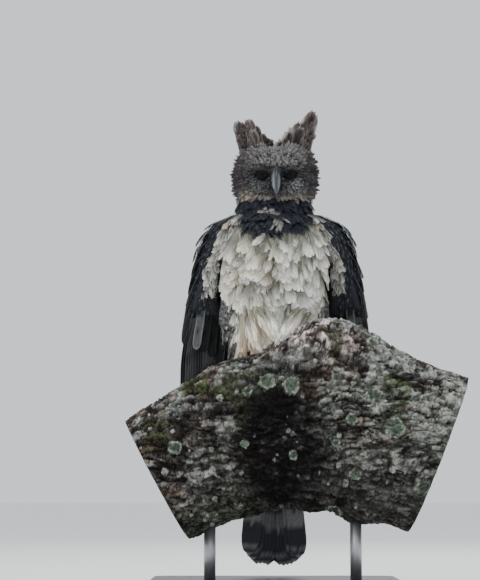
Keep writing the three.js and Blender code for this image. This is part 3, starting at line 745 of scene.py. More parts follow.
def body_colour(p):
    """The torso: white in front with cream patches, a black collar, a slate back, spots on the flanks."""
    x, y, z = p[..., 0], p[..., 1], p[..., 2]
    patch = fractal(p, 38, 3, 5)
    flank = ease(np.abs(x), 80, 98) * (y < 70) * ease(z, 470, 520) * (1 - ease(z, 640, 670))
    behind = ease(y - torso_y(z), 8, 20)
    edge = collar_edge(x) + 10 * (noise(p, 16, 3) - 0.5)
    return layered(
        paint(x.shape, WHITE),
        (CREAM, 0.7 * ease(patch, 0.44, 0.68)),
        (CREAM, 0.6 * bell(x, -62, 22) * bell(z, 515, 40)),
        (BUFF, 0.9 * bell(x, 2, 12) * bell(z, 642, 24) * mix(0.5, 1.0, ease(patch, 0.3, 0.6))),
        (BLACK, flank * ease(fractal(p, 13, 2, 9), 0.58, 0.64)),
        (SLATE, ease(-x - white_reach(z), 2, 8)),
        (SLATE, behind),
        (BLACK, ease(z, edge - 3, edge + 3) * (1 - behind)),
    )


HEAD_TONES = {
    "plain": (0.045, 0.044, 0.047), "forehead": (0.145, 0.14, 0.14), "cheek": (0.105, 0.11, 0.115),
    "mask": (0.004, 0.004, 0.005), "lore": (0.065, 0.068, 0.075), "temple": (0.022, 0.019, 0.020),
    "ruff_foot": (0.25, 0.225, 0.185), "buff_right": (0.23, 0.19, 0.14), "buff_left": (0.24, 0.185, 0.12),
    "throat": (0.012, 0.012, 0.014), "nape": (0.036, 0.034, 0.036),
}


def head_colour(p):
    """The head: dark round the eyes, a paler forehead and cheeks, buff at the foot of the ruff."""
    x, y, z = p[..., 0] - HEAD[0], p[..., 1], p[..., 2]
    side = np.abs(x)
    patch = fractal(p, 14, 3, 21)
    patchy, spotty = 0.35 + 0.65 * patch, ease(patch, 0.3, 0.6)
    tone = HEAD_TONES
    forehead = np.clip(bell(side, 8, 38) * bell(z, 896, 21), 0, 1)
    cheek = np.array(tone["cheek"]) * mix(1.0, 1.85, ease(x, -20, 20))[..., None]
    return layered(
        paint(x.shape, tone["plain"]),
        (tone["forehead"], forehead * (0.45 + 0.55 * patch)),
        (cheek, 0.9 * bell(side, 36, 17) * bell(z, 846, 15)),
        (tone["mask"], np.clip(1.6 * bell(side, 30, 12) * bell(z, 869, 8), 0, 1)),
        (tone["lore"], 0.85 * bell(side, 15, 7) * bell(z, 856, 12)),
        (tone["temple"], 0.85 * ease(side, 44, 66) * ease(z, 826, 848)),
        (tone["ruff_foot"], 0.9 * bell(z, 815, 15) * ease(side, -14, 22) * patchy),
        (tone["buff_right"], 0.7 * bell(z, 825, 12) * bell(x, -55, 13) * spotty),
        (tone["buff_left"], 0.5 * bell(z, 815, 9) * bell(x, 34, 14) * spotty),
        (tone["throat"], 0.35 * bell(side, 0, 10) * bell(z, 830, 9)),
        (tone["nape"], 0.8 * ease(y, 20, 50)),
    )


def fringe(c, at_s, at_x, colour, share, low=0.7):
    """Blends towards a colour near a feather's edges and tip."""
    edge = np.maximum(ease(np.abs(at_x), low, 0.98), ease(at_s, 0.82, 1.0))
    return blend_to(c, colour, edge * share)


def edged(colour, edge, share):
    """A feather's colouring: one colour all over, and another along its edges and tip."""
    return lambda root, at_s, at_x: fringe(paint(at_s.shape, colour), at_s, at_x, edge, share)


# Skin: one smooth body under the coat

def skin():
    """Torso, neck, head and thighs as one surface, joined by a voxel remesh."""
    around = np.linspace(0, 2 * np.pi, 64, endpoint=False)
    tips = np.linspace(0.02, np.pi - 0.02, 48)
    levels = np.linspace(TORSO_LOW + 6, TORSO_HIGH - 4, 60)
    bodies = [
        capped([torso_point(np.full(64, z), around, 9) for z in levels]),
        capped([neck_point(np.full(64, z), around, 9) for z in np.linspace(750, 850, 24)]),
        capped([nod(head_point(np.full(64, t), around, 5)) for t in tips]),
    ]
    for side in SIDES.values():
        bodies.append(capped(limb([(side * x, y, z, w - 8, d - 8) for x, y, z, w, d in THIGH], 16, 32)))
    obj = build_mesh("skin", *joined(bodies), skin_look)
    bpy.context.view_layer.objects.active = obj
    remesh = obj.modifiers.new("Remesh", "REMESH")
    remesh.mode = "VOXEL"
    remesh.voxel_size = 0.0032
    relax = obj.modifiers.new("Smooth", "SMOOTH")
    relax.iterations = 6
    for modifier in (remesh, relax):
        bpy.ops.object.modifier_apply(modifier=modifier.name)
    mesh = obj.data
    p = np.empty(len(mesh.vertices) * 3, np.float32)
    mesh.vertices.foreach_get("co", p)
    p = p.reshape(-1, 3) / MM
    on_head = ease(p[:, 2], 800, 815)[:, None]
    tint_mesh(mesh, mix(body_colour(p), head_colour(p), on_head) * 0.6)
    mesh.polygons.foreach_set("use_smooth", np.ones(len(mesh.polygons), bool))
    place(obj, "breast_plumage", "torso")


skin()


# The coat of the torso

torso = Surface(lambda z, turn: torso_point(np.clip(z, 437, 789), turn), (1.0, 0.01), -1)
neck = Surface(neck_point, (1.0, 0.01), -1)
SKIRT_Z = 566


def hanging_point(z, turn):
    """The torso's surface carried straight down from the level where the long belly feathers hang free."""
    p = torso_point(np.clip(z, SKIRT_Z, 789), turn)
    return np.concatenate([p[..., :2], np.asarray(z, float)[..., None]], -1)


belly = Surface(hanging_point, (1.0, 0.01), -1)


def torso_bake(z, turn):
    """Where a root lies on an unwrap of the body: turn across the left half of the map, height up it."""
    return np.stack([0.02 + 0.46 * (turn / (2 * np.pi) % 1), 0.04 + 0.9 * (z - 430) / 420], -1)


def collar_height(p):
    """How far a place lies above the collar's lower edge, on the front of the bird only."""
    behind = p[..., 1] > torso_y(p[..., 2]) + 20
    return np.where(behind, -100, p[..., 2] - collar_edge(p[..., 0]))


def white_feather(root, at_s, at_x):
    """White, greyer and greener towards its root as painted shade under the feather above, darker over the
    middle of the breast as painted shade between its tufts, with a fine bright edge.
    """
    c = all_over(body_colour(root * np.array([0.78, 1, 1]) - np.array([0, 0, 30])), at_s)
    light = c.sum(-1) > 0.9
    # Painted shade: greyer and greener towards the root, where the feather above lies over it.
    c = blend_to(c, (0.12, 0.125, 0.095), 0.92 * (1 - ease(at_s, 0.4, 0.98)) * light)
    c = blend_to(c, (0.30, 0.31, 0.25), 0.35 * bell(at_x, 0, 0.25) * light)
    # Painted shade over the middle of the breast, between its tufts.
    c = c * mix(1, 0.74, bell(root[:, 2], 655, 45) * bell(root[:, 0], 5, 50))[:, None, None]
    return blend_to(c, (0.95, 0.95, 0.91), 0.6 * ease(at_s, 0.78, 1.0) * light)


def silky_feather(root, at_s, at_x):
    """A white feather without the grey painted shade of its root."""
    return white_feather(root, 0.5 + 0.5 * at_s, at_x)


def stained_plume(root, at_s, at_x):
    """A silky plume, buff towards its tip low on the bird's right."""
    stain_and_painted_shadow = bell(root[:, :1], -62, 13) * ease(at_s, 0.4, 1.0)
    return blend_to(silky_feather(root, at_s, at_x), BUFF, 0.85 * stain_and_painted_shadow)


def crossing_plume(root, at_s, at_x):
    """A bright plume of the V, buff towards its tip on the bird's far right."""
    return layered(white_feather(root, 0.3 + 0.7 * at_s, at_x), (WHITE, 0.5 * ease(at_s, 0.35, 0.8)),
                   (BUFF, 0.6 * (root[:, :1] < -50) * ease(at_s, 0.45, 1.0)))


def on_belly(p, beyond=0):
    """True within the white of the breast and belly, up to a ragged edge on the bird's right."""
    return p[..., 0] > -beyond - white_reach(p[..., 2] + 14 * (noise(p, 20, 6) - 0.5))


def breast_swing(p, rng, ruffle):
    """Feathers lie down the body and out from its middle, ruffled in tufts on the middle of the breast."""
    x, z = p[..., 0], p[..., 2]
    tufts = (fractal(p, 48, 2, 31) - 0.5) * ruffle * bell(z, 655, 75) * bell(x, 0, 80)
    return 0.3 * np.tanh(x / 50) + tufts + rng.normal(size=len(p)) * 0.15


def roots(coat, surface, levels, spacing, width, keep):
    """Roots (a, b) and their places in rows on a surface, where keep(place, b) allows them."""
    a, b = rows_of(coat.rng, levels, -math.pi, math.pi, spacing, width)
    p = surface.point(a, b)
    kept = keep(p, b)
    return a[kept], b[kept], p[kept]


def breast_under():
    """Short feathers that fill the gaps between the breast's larger ones."""
    coat = Coat(11)
    keep = lambda p, turn: (np.abs(turn) < 1.9) & (collar_height(p) < 24) & on_belly(p, 8)
    z, turn, p = roots(coat, torso, np.arange(478, 786, 13), 15, torso_wide, keep)
    coat.add("breast", paths(torso, z, turn, 50, breast_swing(p, coat.rng, 1.5)), torso_bake(z, turn),
             white_feather, half=14, root=-8, tip=-1.5, fray=0.2)
    place(coat.finish("coat_breast_under", down_look), "breast_plumage")


BREAST_ROWS = [
    # levels, spacing, length, half-width
    (np.arange(650, 792, 24), 30, 64, 20),
    (np.arange(592, 650, 17), 23, 52, 15),
]


def breast():
    """Broad soft feathers, largest on the upper breast."""
    coat = Coat(12)
    keep = lambda p, turn: (np.abs(turn) < 1.75) & (collar_height(p) < 22) & on_belly(p)
    for levels, spacing, long, half in BREAST_ROWS:
        z, turn, p = roots(coat, torso, levels, spacing, torso_wide, keep)
        n = len(z)
        track = paths(torso, z, turn, long * coat.rng.uniform(0.8, 1.15, n), breast_swing(p, coat.rng, 4.0))
        coat.add("puff", track, torso_bake(z, turn), white_feather,
                 half=half * coat.rng.uniform(0.75, 1.25, n), root=-7, tip=coat.rng.uniform(3, 12, n),
                 curl=0.03, cup=0.42, fray=0.03, lift=0.7, vary=0.24)
    place(coat.finish("coat_breast", down_look), "breast_plumage")


BELLY_ROWS = [
    # levels, length, half-width, height at the tip, spacing
    (np.arange(560, 650, 28), 92, 9, 9, 11),
    (np.arange(550, 640, 30), 88, 7, 14, 10),
    (np.arange(536, 562, 12), 54, 8, 24, 15),
]
# Each arm of the V of plumes: its roots from x to x, how many, and where they meet (x, z)
BELLY_ARMS = [(-76, -46, 22, (-34, 486)), (-50, -4, 32, (8, 504)), (18, 76, 38, (8, 504))]
BELLY_HALF = 92
LEANING_OUT = (0.0, -1.0, 0.35)


def belly_rows(coat):
    """Long plumes in rows round the belly, which gather inwards low down."""
    keep = lambda p, turn: (np.abs(turn) < 1.45) & on_belly(p)
    for levels, long, half, tip, spacing in BELLY_ROWS:
        z, turn, p = roots(coat, belly, levels, spacing, torso_wide, keep)
        n = len(z)
        gather = -0.3 * np.tanh(p[:, 0] / 60) * ease(-z, -610, -550) + coat.rng.normal(size=n) * 0.22
        coat.add("plume", paths(belly, z, turn, long * coat.rng.uniform(0.75, 1.15, n), gather),
                 torso_bake(z, turn), silky_feather, half=half * coat.rng.uniform(0.8, 1.15, n), root=-7,
                 tip=tip + coat.rng.normal(size=n) * 1.5, cup=0.3, fray=0.2)


def belly_drape(coat):
    """Straight plumes from the belly's front over the feet, drawn towards the middle."""
    n = 150
    turn = coat.rng.uniform(-0.95, 0.75, n)
    z = coat.rng.uniform(548, 606, n)
    root = belly.point(z, turn)
    inside = root[:, 0] > -70
    z, turn, root = z[inside], turn[inside], root[inside]
    n = len(z)
    drift = 34 * np.tanh((12 - root[:, 0]) / 18) * ease(root[:, 0], -62, -36)
    gathered = root[:, 0] + drift + coat.rng.normal(size=n) * 5
    tip = np.stack([gathered, coat.rng.uniform(-54, -40, n), coat.rng.uniform(478, 504, n)], -1)
    coat.add("plume", straight_paths(root, tip, LEANING_OUT), torso_bake(z, turn), stained_plume,
             half=coat.rng.uniform(5, 8, n), root=-3, tip=4, curl=-0.03, cup=0.35, fray=0.16, vary=0.32,
             strands=0.25)


def belly_arms(coat):
    """Bright plumes over the drape, from both sides towards the foot of the V."""
    for low, high, count, (middle, foot) in BELLY_ARMS:
        z = SKIRT_Z + coat.rng.uniform(-8, 14, count)
        turn = np.arcsin(coat.rng.uniform(low, high, count) / BELLY_HALF)
        root = belly.point(z + 0.35 * np.abs(BELLY_HALF * np.sin(turn) - middle), turn)
        reach = coat.rng.uniform(0.7, 1.0, count)
        across = mix(root[:, 0], middle, reach) + coat.rng.normal(size=count) * 3
        tip = np.stack([across, coat.rng.uniform(-66, -56, count), mix(z, foot, reach)], -1)
        coat.add("plume", straight_paths(root, tip, LEANING_OUT), torso_bake(z, turn), crossing_plume,
                 half=coat.rng.uniform(5, 8, count), root=2, tip=5, curl=-0.03, cup=0.4, fray=0.2, vary=0.45,
                 strands=0.25)


def belly_coat():
    coat = Coat(13)
    belly_rows(coat)
    belly_drape(coat)
    belly_arms(coat)
    place(coat.finish("coat_belly", down_look), "breast_plumage")


def breast_wisps():
    """Thin loose feathers that stand off the breast."""
    coat = Coat(18)
    n = 120
    z, turn = coat.rng.uniform(585, 745, n), coat.rng.normal(size=n).clip(-1.6, 1.6) * 0.55
    swing = breast_swing(torso.point(z, turn), coat.rng, 5.0) + coat.rng.normal(size=n) * 0.3
    coat.add("plume", paths(torso, z, turn, coat.rng.uniform(36, 58, n), swing), torso_bake(z, turn),
             white_feather, half=coat.rng.uniform(4, 9, n), root=-4, tip=coat.rng.uniform(7, 15, n), cup=0.4,
             fray=0.12)
    place(coat.finish("coat_breast_wisps", down_look), "breast_plumage")


def dusky_feather(root, at_s, at_x):
    """Dark grey with a pale edge, waved with paler bars low down."""
    wave = np.sin((root[:, 2:3] - 40 * at_s) / 9.5 * np.pi + 1.2 * np.sin(root[:, :1] / 9))
    bars = 0.8 * (root[:, 2:3] < 610) * (wave < 0.2)
    c = blend_to(paint(at_s.shape, (0.04, 0.041, 0.044)), (0.17, 0.172, 0.17), bars)
    return fringe(c, at_s, at_x, (0.19, 0.195, 0.2), 0.45)


def dark_flank():
    """The grey flank on the bird's right, beside the belly's white."""
    coat = Coat(19)
    keep = lambda p, turn: (p[:, 0] < 0) & (np.abs(turn) < 1.95) & ~on_belly(p, -4)
    z, turn, p = roots(coat, belly, np.arange(536, 700, 13), 13, torso_wide, keep)
    coat.add("breast", paths(belly, z, turn, 42, coat.rng.normal(size=len(z)) * 0.2), torso_bake(z, turn),
             dusky_feather, half=10, root=-7, tip=1.5, fray=0.16)
    place(coat.finish("coat_flank_dark", down_look), "thigh_plumage")


def back_coat():
    coat = Coat(14)
    keep = lambda p, turn: (np.abs(turn) >= 1.8) & (collar_height(p) < 5)
    z, turn, p = roots(coat, torso, np.arange(444, 786, 15), 17, torso_wide, keep)
    dark = lambda root, at_s, at_x: fringe(all_over(body_colour(root), at_s), at_s, at_x, SLATE_EDGE, 0.35)
    track = paths(torso, z, turn, 58, coat.rng.normal(size=len(z)) * 0.1)
    coat.add("breast", track, torso_bake(z, turn), dark, half=15, root=-8, tip=1.5, fray=0.1)
    place(coat.finish("coat_back", dark_down_look), "wing_plumage")


def spotted_tuft(root, at_s, at_x):
    """White with black spots."""
    speckle = noise(np.stack([at_s * 40 + root[:, :1], at_x * 12, at_s * 9], -1), 7, 4)
    return blend_to(white_feather(root, at_s, at_x), BLACK, 0.9 * ease(speckle, 0.66, 0.72) * (at_s > 0.35))


def flank_tufts():
    """Long loose white tufts with black spots, between the flank and the wing."""
    coat = Coat(15)
    for side in SIDES.values():
        n = 26
        z = coat.rng.uniform(560, 650, n)
        turn = side * coat.rng.uniform(1.15, 1.75, n)
        swing = side * coat.rng.uniform(0.0, 0.45, n)
        coat.add("plume", paths(belly, z, turn, coat.rng.uniform(46, 66, n), swing), torso_bake(z, turn),
                 spotted_tuft, half=coat.rng.uniform(9, 14, n), root=-6, tip=coat.rng.uniform(5, 13, n),
                 cup=0.3, fray=0.25)
    place(coat.finish("coat_flank_tufts", down_look), "breast_plumage")


for dress in (breast_under, breast, belly_coat, breast_wisps, dark_flank, back_coat, flank_tufts):
    dress()


def black_with_painted_sheen(root, at_s, at_x):
    # Painted sheen: a bluish band just off the middle of each feather.
    c = blend_to(paint(at_s.shape, BLACK), (0.026, 0.03, 0.042), 0.7 * bell(at_x, 0.15, 0.3))
    return fringe(c, at_s, at_x, (0.036, 0.042, 0.058), 0.6)


def collar():
    """The black collar, from the upper breast to under the head, all round the neck."""
    coat = Coat(16)
    keep = lambda p, turn: (collar_height(p) > 24) | (p[:, 2] > 782)
    z, turn, p = roots(coat, torso, np.arange(730, 787, 7), 9, torso_wide, keep)
    n = len(z)
    coat.add("breast", paths(torso, z, turn, coat.rng.uniform(22, 32, n), coat.rng.normal(size=n) * 0.25),
             torso_bake(z, turn), black_with_painted_sheen, half=coat.rng.uniform(5, 8.5, n), root=-6,
             tip=coat.rng.uniform(3, 8, n), fray=0.2, cup=0.25)
    z, turn = rows_of(coat.rng, np.arange(768, 846, 8), -math.pi, math.pi, 10, neck_wide)
    n = len(z)
    coat.add("plume", paths(neck, z, turn, coat.rng.uniform(34, 50, n), coat.rng.normal(size=n) * 0.2),
             torso_bake(z, turn), black_with_painted_sheen, half=coat.rng.uniform(7, 11, n), root=-7,
             tip=coat.rng.uniform(1, 7, n), fray=0.1, cup=0.35)
    place(coat.finish("coat_collar", dark_down_look), "collar_plumage", "neck")


COLLAR_STREAKS = [
    # surface, count, levels, middle turn, spread, length, half-width, height at the root
    (neck, 18, (781, 799), -0.1, 0.14, 17, 3.4, 2),
    (torso, 11, (754, 770), 0.08, 0.045, 24, 1.9, 7),
]


def collar_tufts():
    """The two pale tufts on the front of the collar."""
    coat = Coat(17)
    pale = lambda root, at_s, at_x: blend_to(paint(at_s.shape, (0.02, 0.022, 0.026)), (0.29, 0.28, 0.255),
                                             ease(at_s, 0.3, 0.95))
    for surface, count, levels, middle, spread, long, half, high in COLLAR_STREAKS:
        z = coat.rng.uniform(*levels, count)
        turn = middle + coat.rng.normal(size=count).clip(-1.5, 1.5) * spread
        track = paths(surface, z, turn, long, coat.rng.normal(size=count) * 0.35 - 0.1)
        coat.add("plume", track, torso_bake(z, turn), pale, half=1.4 * half, root=high,
                 tip=high + coat.rng.uniform(5, 8, count), fray=0.3, strands=0.45)
    place(coat.finish("coat_collar_tuft", down_look), "collar_plumage")


collar()
collar_tufts()


# Thighs, grey with fine black bars

def barred_feather(root, at_s, at_x):
    """Pale grey with fine wavy black bars, level all over the thigh."""
    wave = np.sin((root[:, 2:3] - 44 * at_s) / 5.6 * np.pi + 1.2 * np.sin(root[:, :1] / 9))
    return blend_to(paint(at_s.shape, (0.24, 0.24, 0.23)), BLACK, ease(wave, 0.0, 0.5) * 0.92)


def thigh_coat(name, side, seed):
    """Soft barred feathers in rows down the thigh, and long plumes that hang from its lower part."""
    coat = Coat(seed)
    surface = thigh_surface(side)
    bake = lambda a, b: np.stack([0.52 + 0.22 * (side < 0) + 0.2 * (b / (2 * np.pi) % 1), 0.04 + 0.4 * a], -1)
    a, b = rows_of(coat.rng, np.arange(0.08, 0.99, 0.062), 0, 2 * np.pi, 11, lambda q: 42)
    coat.add("puff", paths(surface, a, b, 44, coat.rng.normal(size=len(a)) * 0.1, down=1), bake(a, b),
             barred_feather, half=9.5, root=-7, tip=1.0, fray=0.1)
    n = 46
    a, b = coat.rng.uniform(0.62, 0.97, n), coat.rng.uniform(0, 2 * np.pi, n)
    root, _, _, out = surface.frame(a, b)
    drop = np.array([0, 0, 1.0]) * coat.rng.uniform(48, 66, n)[:, None]
    tip = root - drop + coat.rng.normal(size=(n, 3)) * 2
    coat.add("plume", straight_paths(root, tip, out), bake(a, b), barred_feather, half=8.5, root=-4, tip=1.0,
             cup=0.3, fray=0.15)
    place(coat.finish(f"coat_thigh_{name}", down_look), "thigh_plumage", f"thigh_{name}")


for seed, (name, side) in enumerate(SIDES.items()):
    thigh_coat(name, side, 40 + seed)


# The head's coat, made level and then tipped forward with the bill and eyes

def head_bake(tip, roll):
    """Where a root lies on an unwrap of the head: a disc about the bill, in the map's upper right."""
    r = 0.22 * tip / np.pi
    return np.stack([0.76 + r * np.sin(roll), 0.74 + r * np.cos(roll)], -1)


head = Surface(lambda tip, roll: head_point(np.clip(tip, 0.01, np.pi - 0.01), roll), (0.012, 0.012), -1)
LID_REACH = 10.8


def off_face(p):
    """True where the face has bare skin, an eye or the bill, and no feather grows."""
    bare = np.zeros(len(p), bool)
    for side in SIDES.values():
        rel = p - eye_place(side)
        forward = rel @ eye_axis(side)
        away = np.linalg.norm(rel - forward[:, None] * eye_axis(side), axis=1)
        bare |= (away < LID_REACH) & (forward > -6)
    x, y, z = (p - HEAD).T
    bare |= (np.abs(x) < 11.5) & (z < 17) & (z > -22) & (y < -44)
    return bare


def face_feather(root, at_s, at_x):
    """Dark at its root as painted shade between the tufts, with pale edges that are strongest on the
    forehead.
    """
    # Painted shade: darker towards the root, in the gaps between tufts.
    c = all_over(head_colour(root), at_s) * mix(0.2, 1.15, ease(at_s, 0.2, 0.8))[..., None]
    pale = np.clip(0.8 * bell(root[:, 2], 897, 18) + 0.1, 0, 1)[:, None] * bell(root[:, :1], HEAD[0], 46)
    return fringe(c, at_s, at_x, (0.33, 0.325, 0.315), pale * np.ones_like(at_s), low=0.55)


HEAD_BANDS = [
    # shape, tip angles, spacing, length, half-width, height
    ("tiny", (0.20, 0.95, 0.060), 4.4, 8, 2.5, 1.0),
    ("small", (0.9, 1.45, 0.085), 6.5, 15, 4.4, 1.6),
    ("small", (1.4, 2.95, 0.105), 7.5, 23, 5, 1.6),
]


def head_coat():
    """Feathers that grow away from the bill, finest on the face and ruffled above the eyes."""
    coat = Coat(21)
    for shape, levels, spacing, length, half, high in HEAD_BANDS:
        around = lambda q: 70 * math.sin(q)
        tip, roll = rows_of(coat.rng, np.arange(*levels), 0, 2 * np.pi, spacing, around, 0.35)
        p = head.point(tip, roll)
        kept = ~off_face(p) & ~((p[:, 2] < 822) & (p[:, 1] > 5))
        tip, roll, p = tip[kept], roll[kept], p[kept]
        n = len(tip)
        brow = bell(p[:, 2], 905, 18) * (p[:, 1] < 10)
        swing = coat.rng.normal(size=n) * mix(0.16, 0.7, brow)
        track = paths(head, tip, roll, length * (1 + 0.15 * coat.rng.normal(size=n)), swing, down=1)
        coat.add(shape, track, head_bake(tip, roll), face_feather, half=half, root=-4,
                 tip=high + 2 * brow * coat.rng.uniform(0, 1, n), curl=-0.02 + 0.16 * brow, cup=0.2,
                 fray=0.16, vary=0.3)
    place(coat.finish("coat_head", head_look, nod), "head_plumage", "head")


head_coat()


def brow_feather(root, at_s, at_x):
    """Dark, with a pale edge on the upper ones."""
    upper = 0.6 * ease(root[:, 2], 874, 884)[:, None]
    return fringe(paint(at_s.shape, (0.025, 0.025, 0.027)), at_s, at_x, (0.13, 0.13, 0.13), upper)


def brow_coat():
    """Small feathers that overhang the top of each eye."""
    coat = Coat(24)
    for side in SIDES.values():
        n = 70
        turn = coat.rng.uniform(-1.35, 1.35, n)
        away = coat.rng.uniform(10.5, 15.5, n)
        axis, out, high = eye_frame(side)
        spoke = np.outer(np.sin(turn), out) + np.outer(np.cos(turn), high)
        root = eye_place(side) + axis * 6.0 + spoke * away[:, None] - np.outer(away - 10.5, axis) * 0.2
        stray = coat.rng.normal(size=(n, 3)) * 0.14
        lean = unit(out * 0.9 + spoke * 0.25 - high * 0.35 + axis * 0.25 + stray)
        track = straight_paths(root, root + lean * 9, unit(axis + spoke * 0.6))
        coat.add("tiny", track, head_bake(0.5 + 0 * turn, side * turn), brow_feather, half=2.3, root=-0.5,
                 tip=0.8, cup=0.1, fray=0.2)
    place(coat.finish("coat_brow", head_look, nod), "head_plumage")


RUFF_TIERS = [
    # angle from straight in front, lean back, length
    (58, 0.25, 17),
    (67, 0.4, 22),
    (76, 0.55, 25),
    (87, 0.72, 27),
    (98, 0.9, 28),
]
RUFF_COUNT = 134
BACKWARDS = np.array([0.0, 1.0, 0.0])


def ruff_coat():
    """The ruff: rows of slim feathers that stand back from the edge of the face."""
    coat = Coat(22)
    for tier, (polar, flare, length) in enumerate(RUFF_TIERS):
        degrees = np.linspace(18, 342, RUFF_COUNT) + coat.rng.normal(size=RUFF_COUNT).clip(-1.5, 1.5) * 1.5
        turned = np.where(degrees > 180, 360 - degrees, degrees)
        kept = turned < (176 if tier < 3 else 122)
        degrees, turned = degrees[kept], turned[kept]
        n = len(degrees)
        low = ease(turned, 95, 160)
        roll = np.radians(degrees)
        start = np.radians(mix(polar, 42 + 7 * tier, low))
        lean = (mix(flare, -0.5 + 0.25 * tier, low) + coat.rng.normal(size=n).clip(-2, 2) * 0.08)[:, None]
        out = np.stack([np.sin(roll), np.zeros(n), np.cos(roll)], -1)
        root = head_point(start, roll, 5)
        reach = length * (1 + 0.08 * coat.rng.normal(size=n).clip(-2, 2)) * mix(0.9, 1, ease(turned, 25, 75))
        reach = (reach * (1 + 0.42 * bell(degrees, 46, 20) + 0.16 * bell(degrees, 314, 20)))[:, None]
        shade = coat.rng.uniform(0.45, 1.6, (n, 1, 1)) ** mix(1.0, 0.45, low)[:, None, None]
        t = np.linspace(0, PAST_TIP, 6)
        outward, backward = np.cos(lean) * reach * t, reach * (np.sin(lean) * t + 0.2 * t * t)
        p = root[:, None] + out[:, None] * outward[..., None] + BACKWARDS * backward[..., None]
        face = out * np.sin(lean) - BACKWARDS * np.cos(lean)
        spot = root + out * 6

        def streaked(_, at_s, at_x):
            c = all_over(head_colour(spot), at_s) * mix(0.35, 1.2, ease(at_s, 0.15, 0.6))[..., None] * shade
            c = fringe(c, at_s, at_x, (0.24, 0.22, 0.21), 0.42)
            tip = ease(at_s, 0.82, 0.95) * (turned > 60)[:, None] * (turned < 125)[:, None]
            return blend_to(c, (0.012, 0.011, 0.012), 0.8 * tip)

        coat.add("slim", (t, p, np.broadcast_to(face[:, None], p.shape)), head_bake(start, roll), streaked,
                 half=mix(3.7, 2.7, low), root=0, tip=0, cup=0.15, fray=0.14, strands=0.3)
    place(coat.finish("coat_ruff", head_look, nod), "head_plumage")


CREST = {
    # foot across, tip across, tip height, half-width, tone; from the back of the lobe to its front
    1: [(12, 18, 946, 12, "tan"), (24, 33, 964, 13, "tan"), (36, 52, 986, 12, "tan"),
        (61, 88, 1004, 12, "pale"), (48, 70, 1002, 11, "pale"), (50, 82, 1011, 13, "dark"),
        (61, 80, 976, 10, "tan"), (38, 56, 974, 12, "dark")],
    -1: [(12, 15, 944, 12, "tan"), (24, 29, 960, 13, "tan"), (59, 83, 990, 12, "blue"),
         (36, 43, 978, 12, "dark"), (52, 66, 984, 9, "dark"), (46, 58, 993, 12.5, "tan"),
         (57, 72, 972, 9, "dark"), (40, 48, 968, 11, "tan")],
}
# How far each feather of a lobe is turned out from facing forwards
CREST_TWIST = (0.25, -0.35, 0.1, 0.5, -0.45, 0.05, 0.6, -0.3)
CREST_TONES = {
    # middle, border
    "pale": ((0.10, 0.085, 0.080), (0.27, 0.245, 0.235)),
    "tan": ((0.055, 0.043, 0.040), (0.15, 0.127, 0.118)),
    "dark": ((0.016, 0.012, 0.013), (0.095, 0.078, 0.073)),
    "blue": ((0.035, 0.036, 0.044), (0.29, 0.31, 0.37)),
}
FORWARDS = (0.0, -1.0, 0.1)


def crest_line(side, i, foot, tip, top):
    """The middle line of a crest feather, the i-th from the back of its lobe."""
    def place_at(q):
        q = np.asarray(q, float)
        across = HEAD[0] + side * (mix(foot, tip, q) - 4 * np.sin(np.pi * q.clip(0, 1)))
        z = mix(878, top, q)
        y = 34 + 0.2 * (side * across - 40) + 14 * ((z - 886) / 110) ** 2 - 4.2 * i
        return np.stack([across, y, z], -1)

    return place_at


def crest_colour(side, i, tone):
    """A dark middle, a border in the feather's tone, fine lines along it and a pale rim."""
    centre, border = CREST_TONES[tone]

    def colour_at(_, at_s, at_x):
        c = layered(paint(at_s.shape, centre),
                    (border, mix(0.25, 0.95, ease(at_s, 0.35, 0.8)) * ease(np.abs(at_x), 0.3, 0.75)),
                    (border, 0.8 * ease(at_s, 0.9, 1.0)))
        if tone == "blue":
            c = c * mix(0.3, 1.0, ease(at_s, 0.45, 0.8))[..., None]
        lines = fractal(np.stack([at_x * 26 + 31 * i, at_s * 16, 0 * at_s], -1), 7, 3, 130 + side)
        rim = np.maximum(ease(np.abs(at_x), 0.86, 1.0), ease(at_s, 0.965, 1.0))
        inner = ease(-side * at_x, 0.5, 0.9) * (side > 0) * (i < 3)
        return layered(c * mix(0.35, 1.9, ease(lines, 0.28, 0.72))[..., None],
                       ((0.008, 0.007, 0.008), 0.8 * bell(at_x, 0.06, 0.08) * ease(at_s, 0.4, 0.6)),
                       ((0.33, 0.31, 0.30), 0.5 * rim),
                       ((0.66, 0.62, 0.59), 0.85 * inner))

    return colour_at


def crest_facing(side, i):
    """The way the face of a lobe's i-th feather looks."""
    return unit(np.array([side * (0.15 + CREST_TWIST[i]), FORWARDS[1], FORWARDS[2]]))


def crest_lobe(firm, soft, side):
    """One lobe's broad feathers, each a firm vane between two layers of soft barbs."""
    s, x, _, _, _ = FIRM["crest"]
    lobe = CREST[side]
    before = 0 if side > 0 else len(CREST[1])
    total = len(CREST[1]) + len(CREST[-1])
    t = np.linspace(0, 1.15, 8)
    for i, (foot, tip, top, half, tone) in enumerate(lobe):
        place_at, colour_at = crest_line(side, i, foot, tip, top), crest_colour(side, i, tone)
        facing = crest_facing(side, i)
        points = vane_points(place_at, lambda q: np.broadcast_to(facing, (len(q), 3)), lambda q: 0 * q, half,
                             FIRM["crest"], thick=0.8, camber=0.12)
        shade = firm.rng.uniform(0.85, 1.15)
        firm.add_vane("crest", points, colour_at(None, s, x) * shade * 0.8, before + i, total)
        p = place_at(t)[None] - 0.8 * facing
        bake = np.array([[0.56 + 0.15 * i / len(lobe), 0.5 + 0.05 * side]])
        for ahead, wide, loose in ((0, 1.16, 0.04), (2.2, 0.98, 0.08)):
            soft.add("crest", (t, p + ahead * facing, np.broadcast_to(facing, p.shape)), bake, colour_at,
                     half=half * wide, root=0, tip=0, cup=0.12, fray=loose, strands=0.3)


crest_ceiling = through((0, 934), (20, 942), (40, 958), (60, 972), (75, 972))


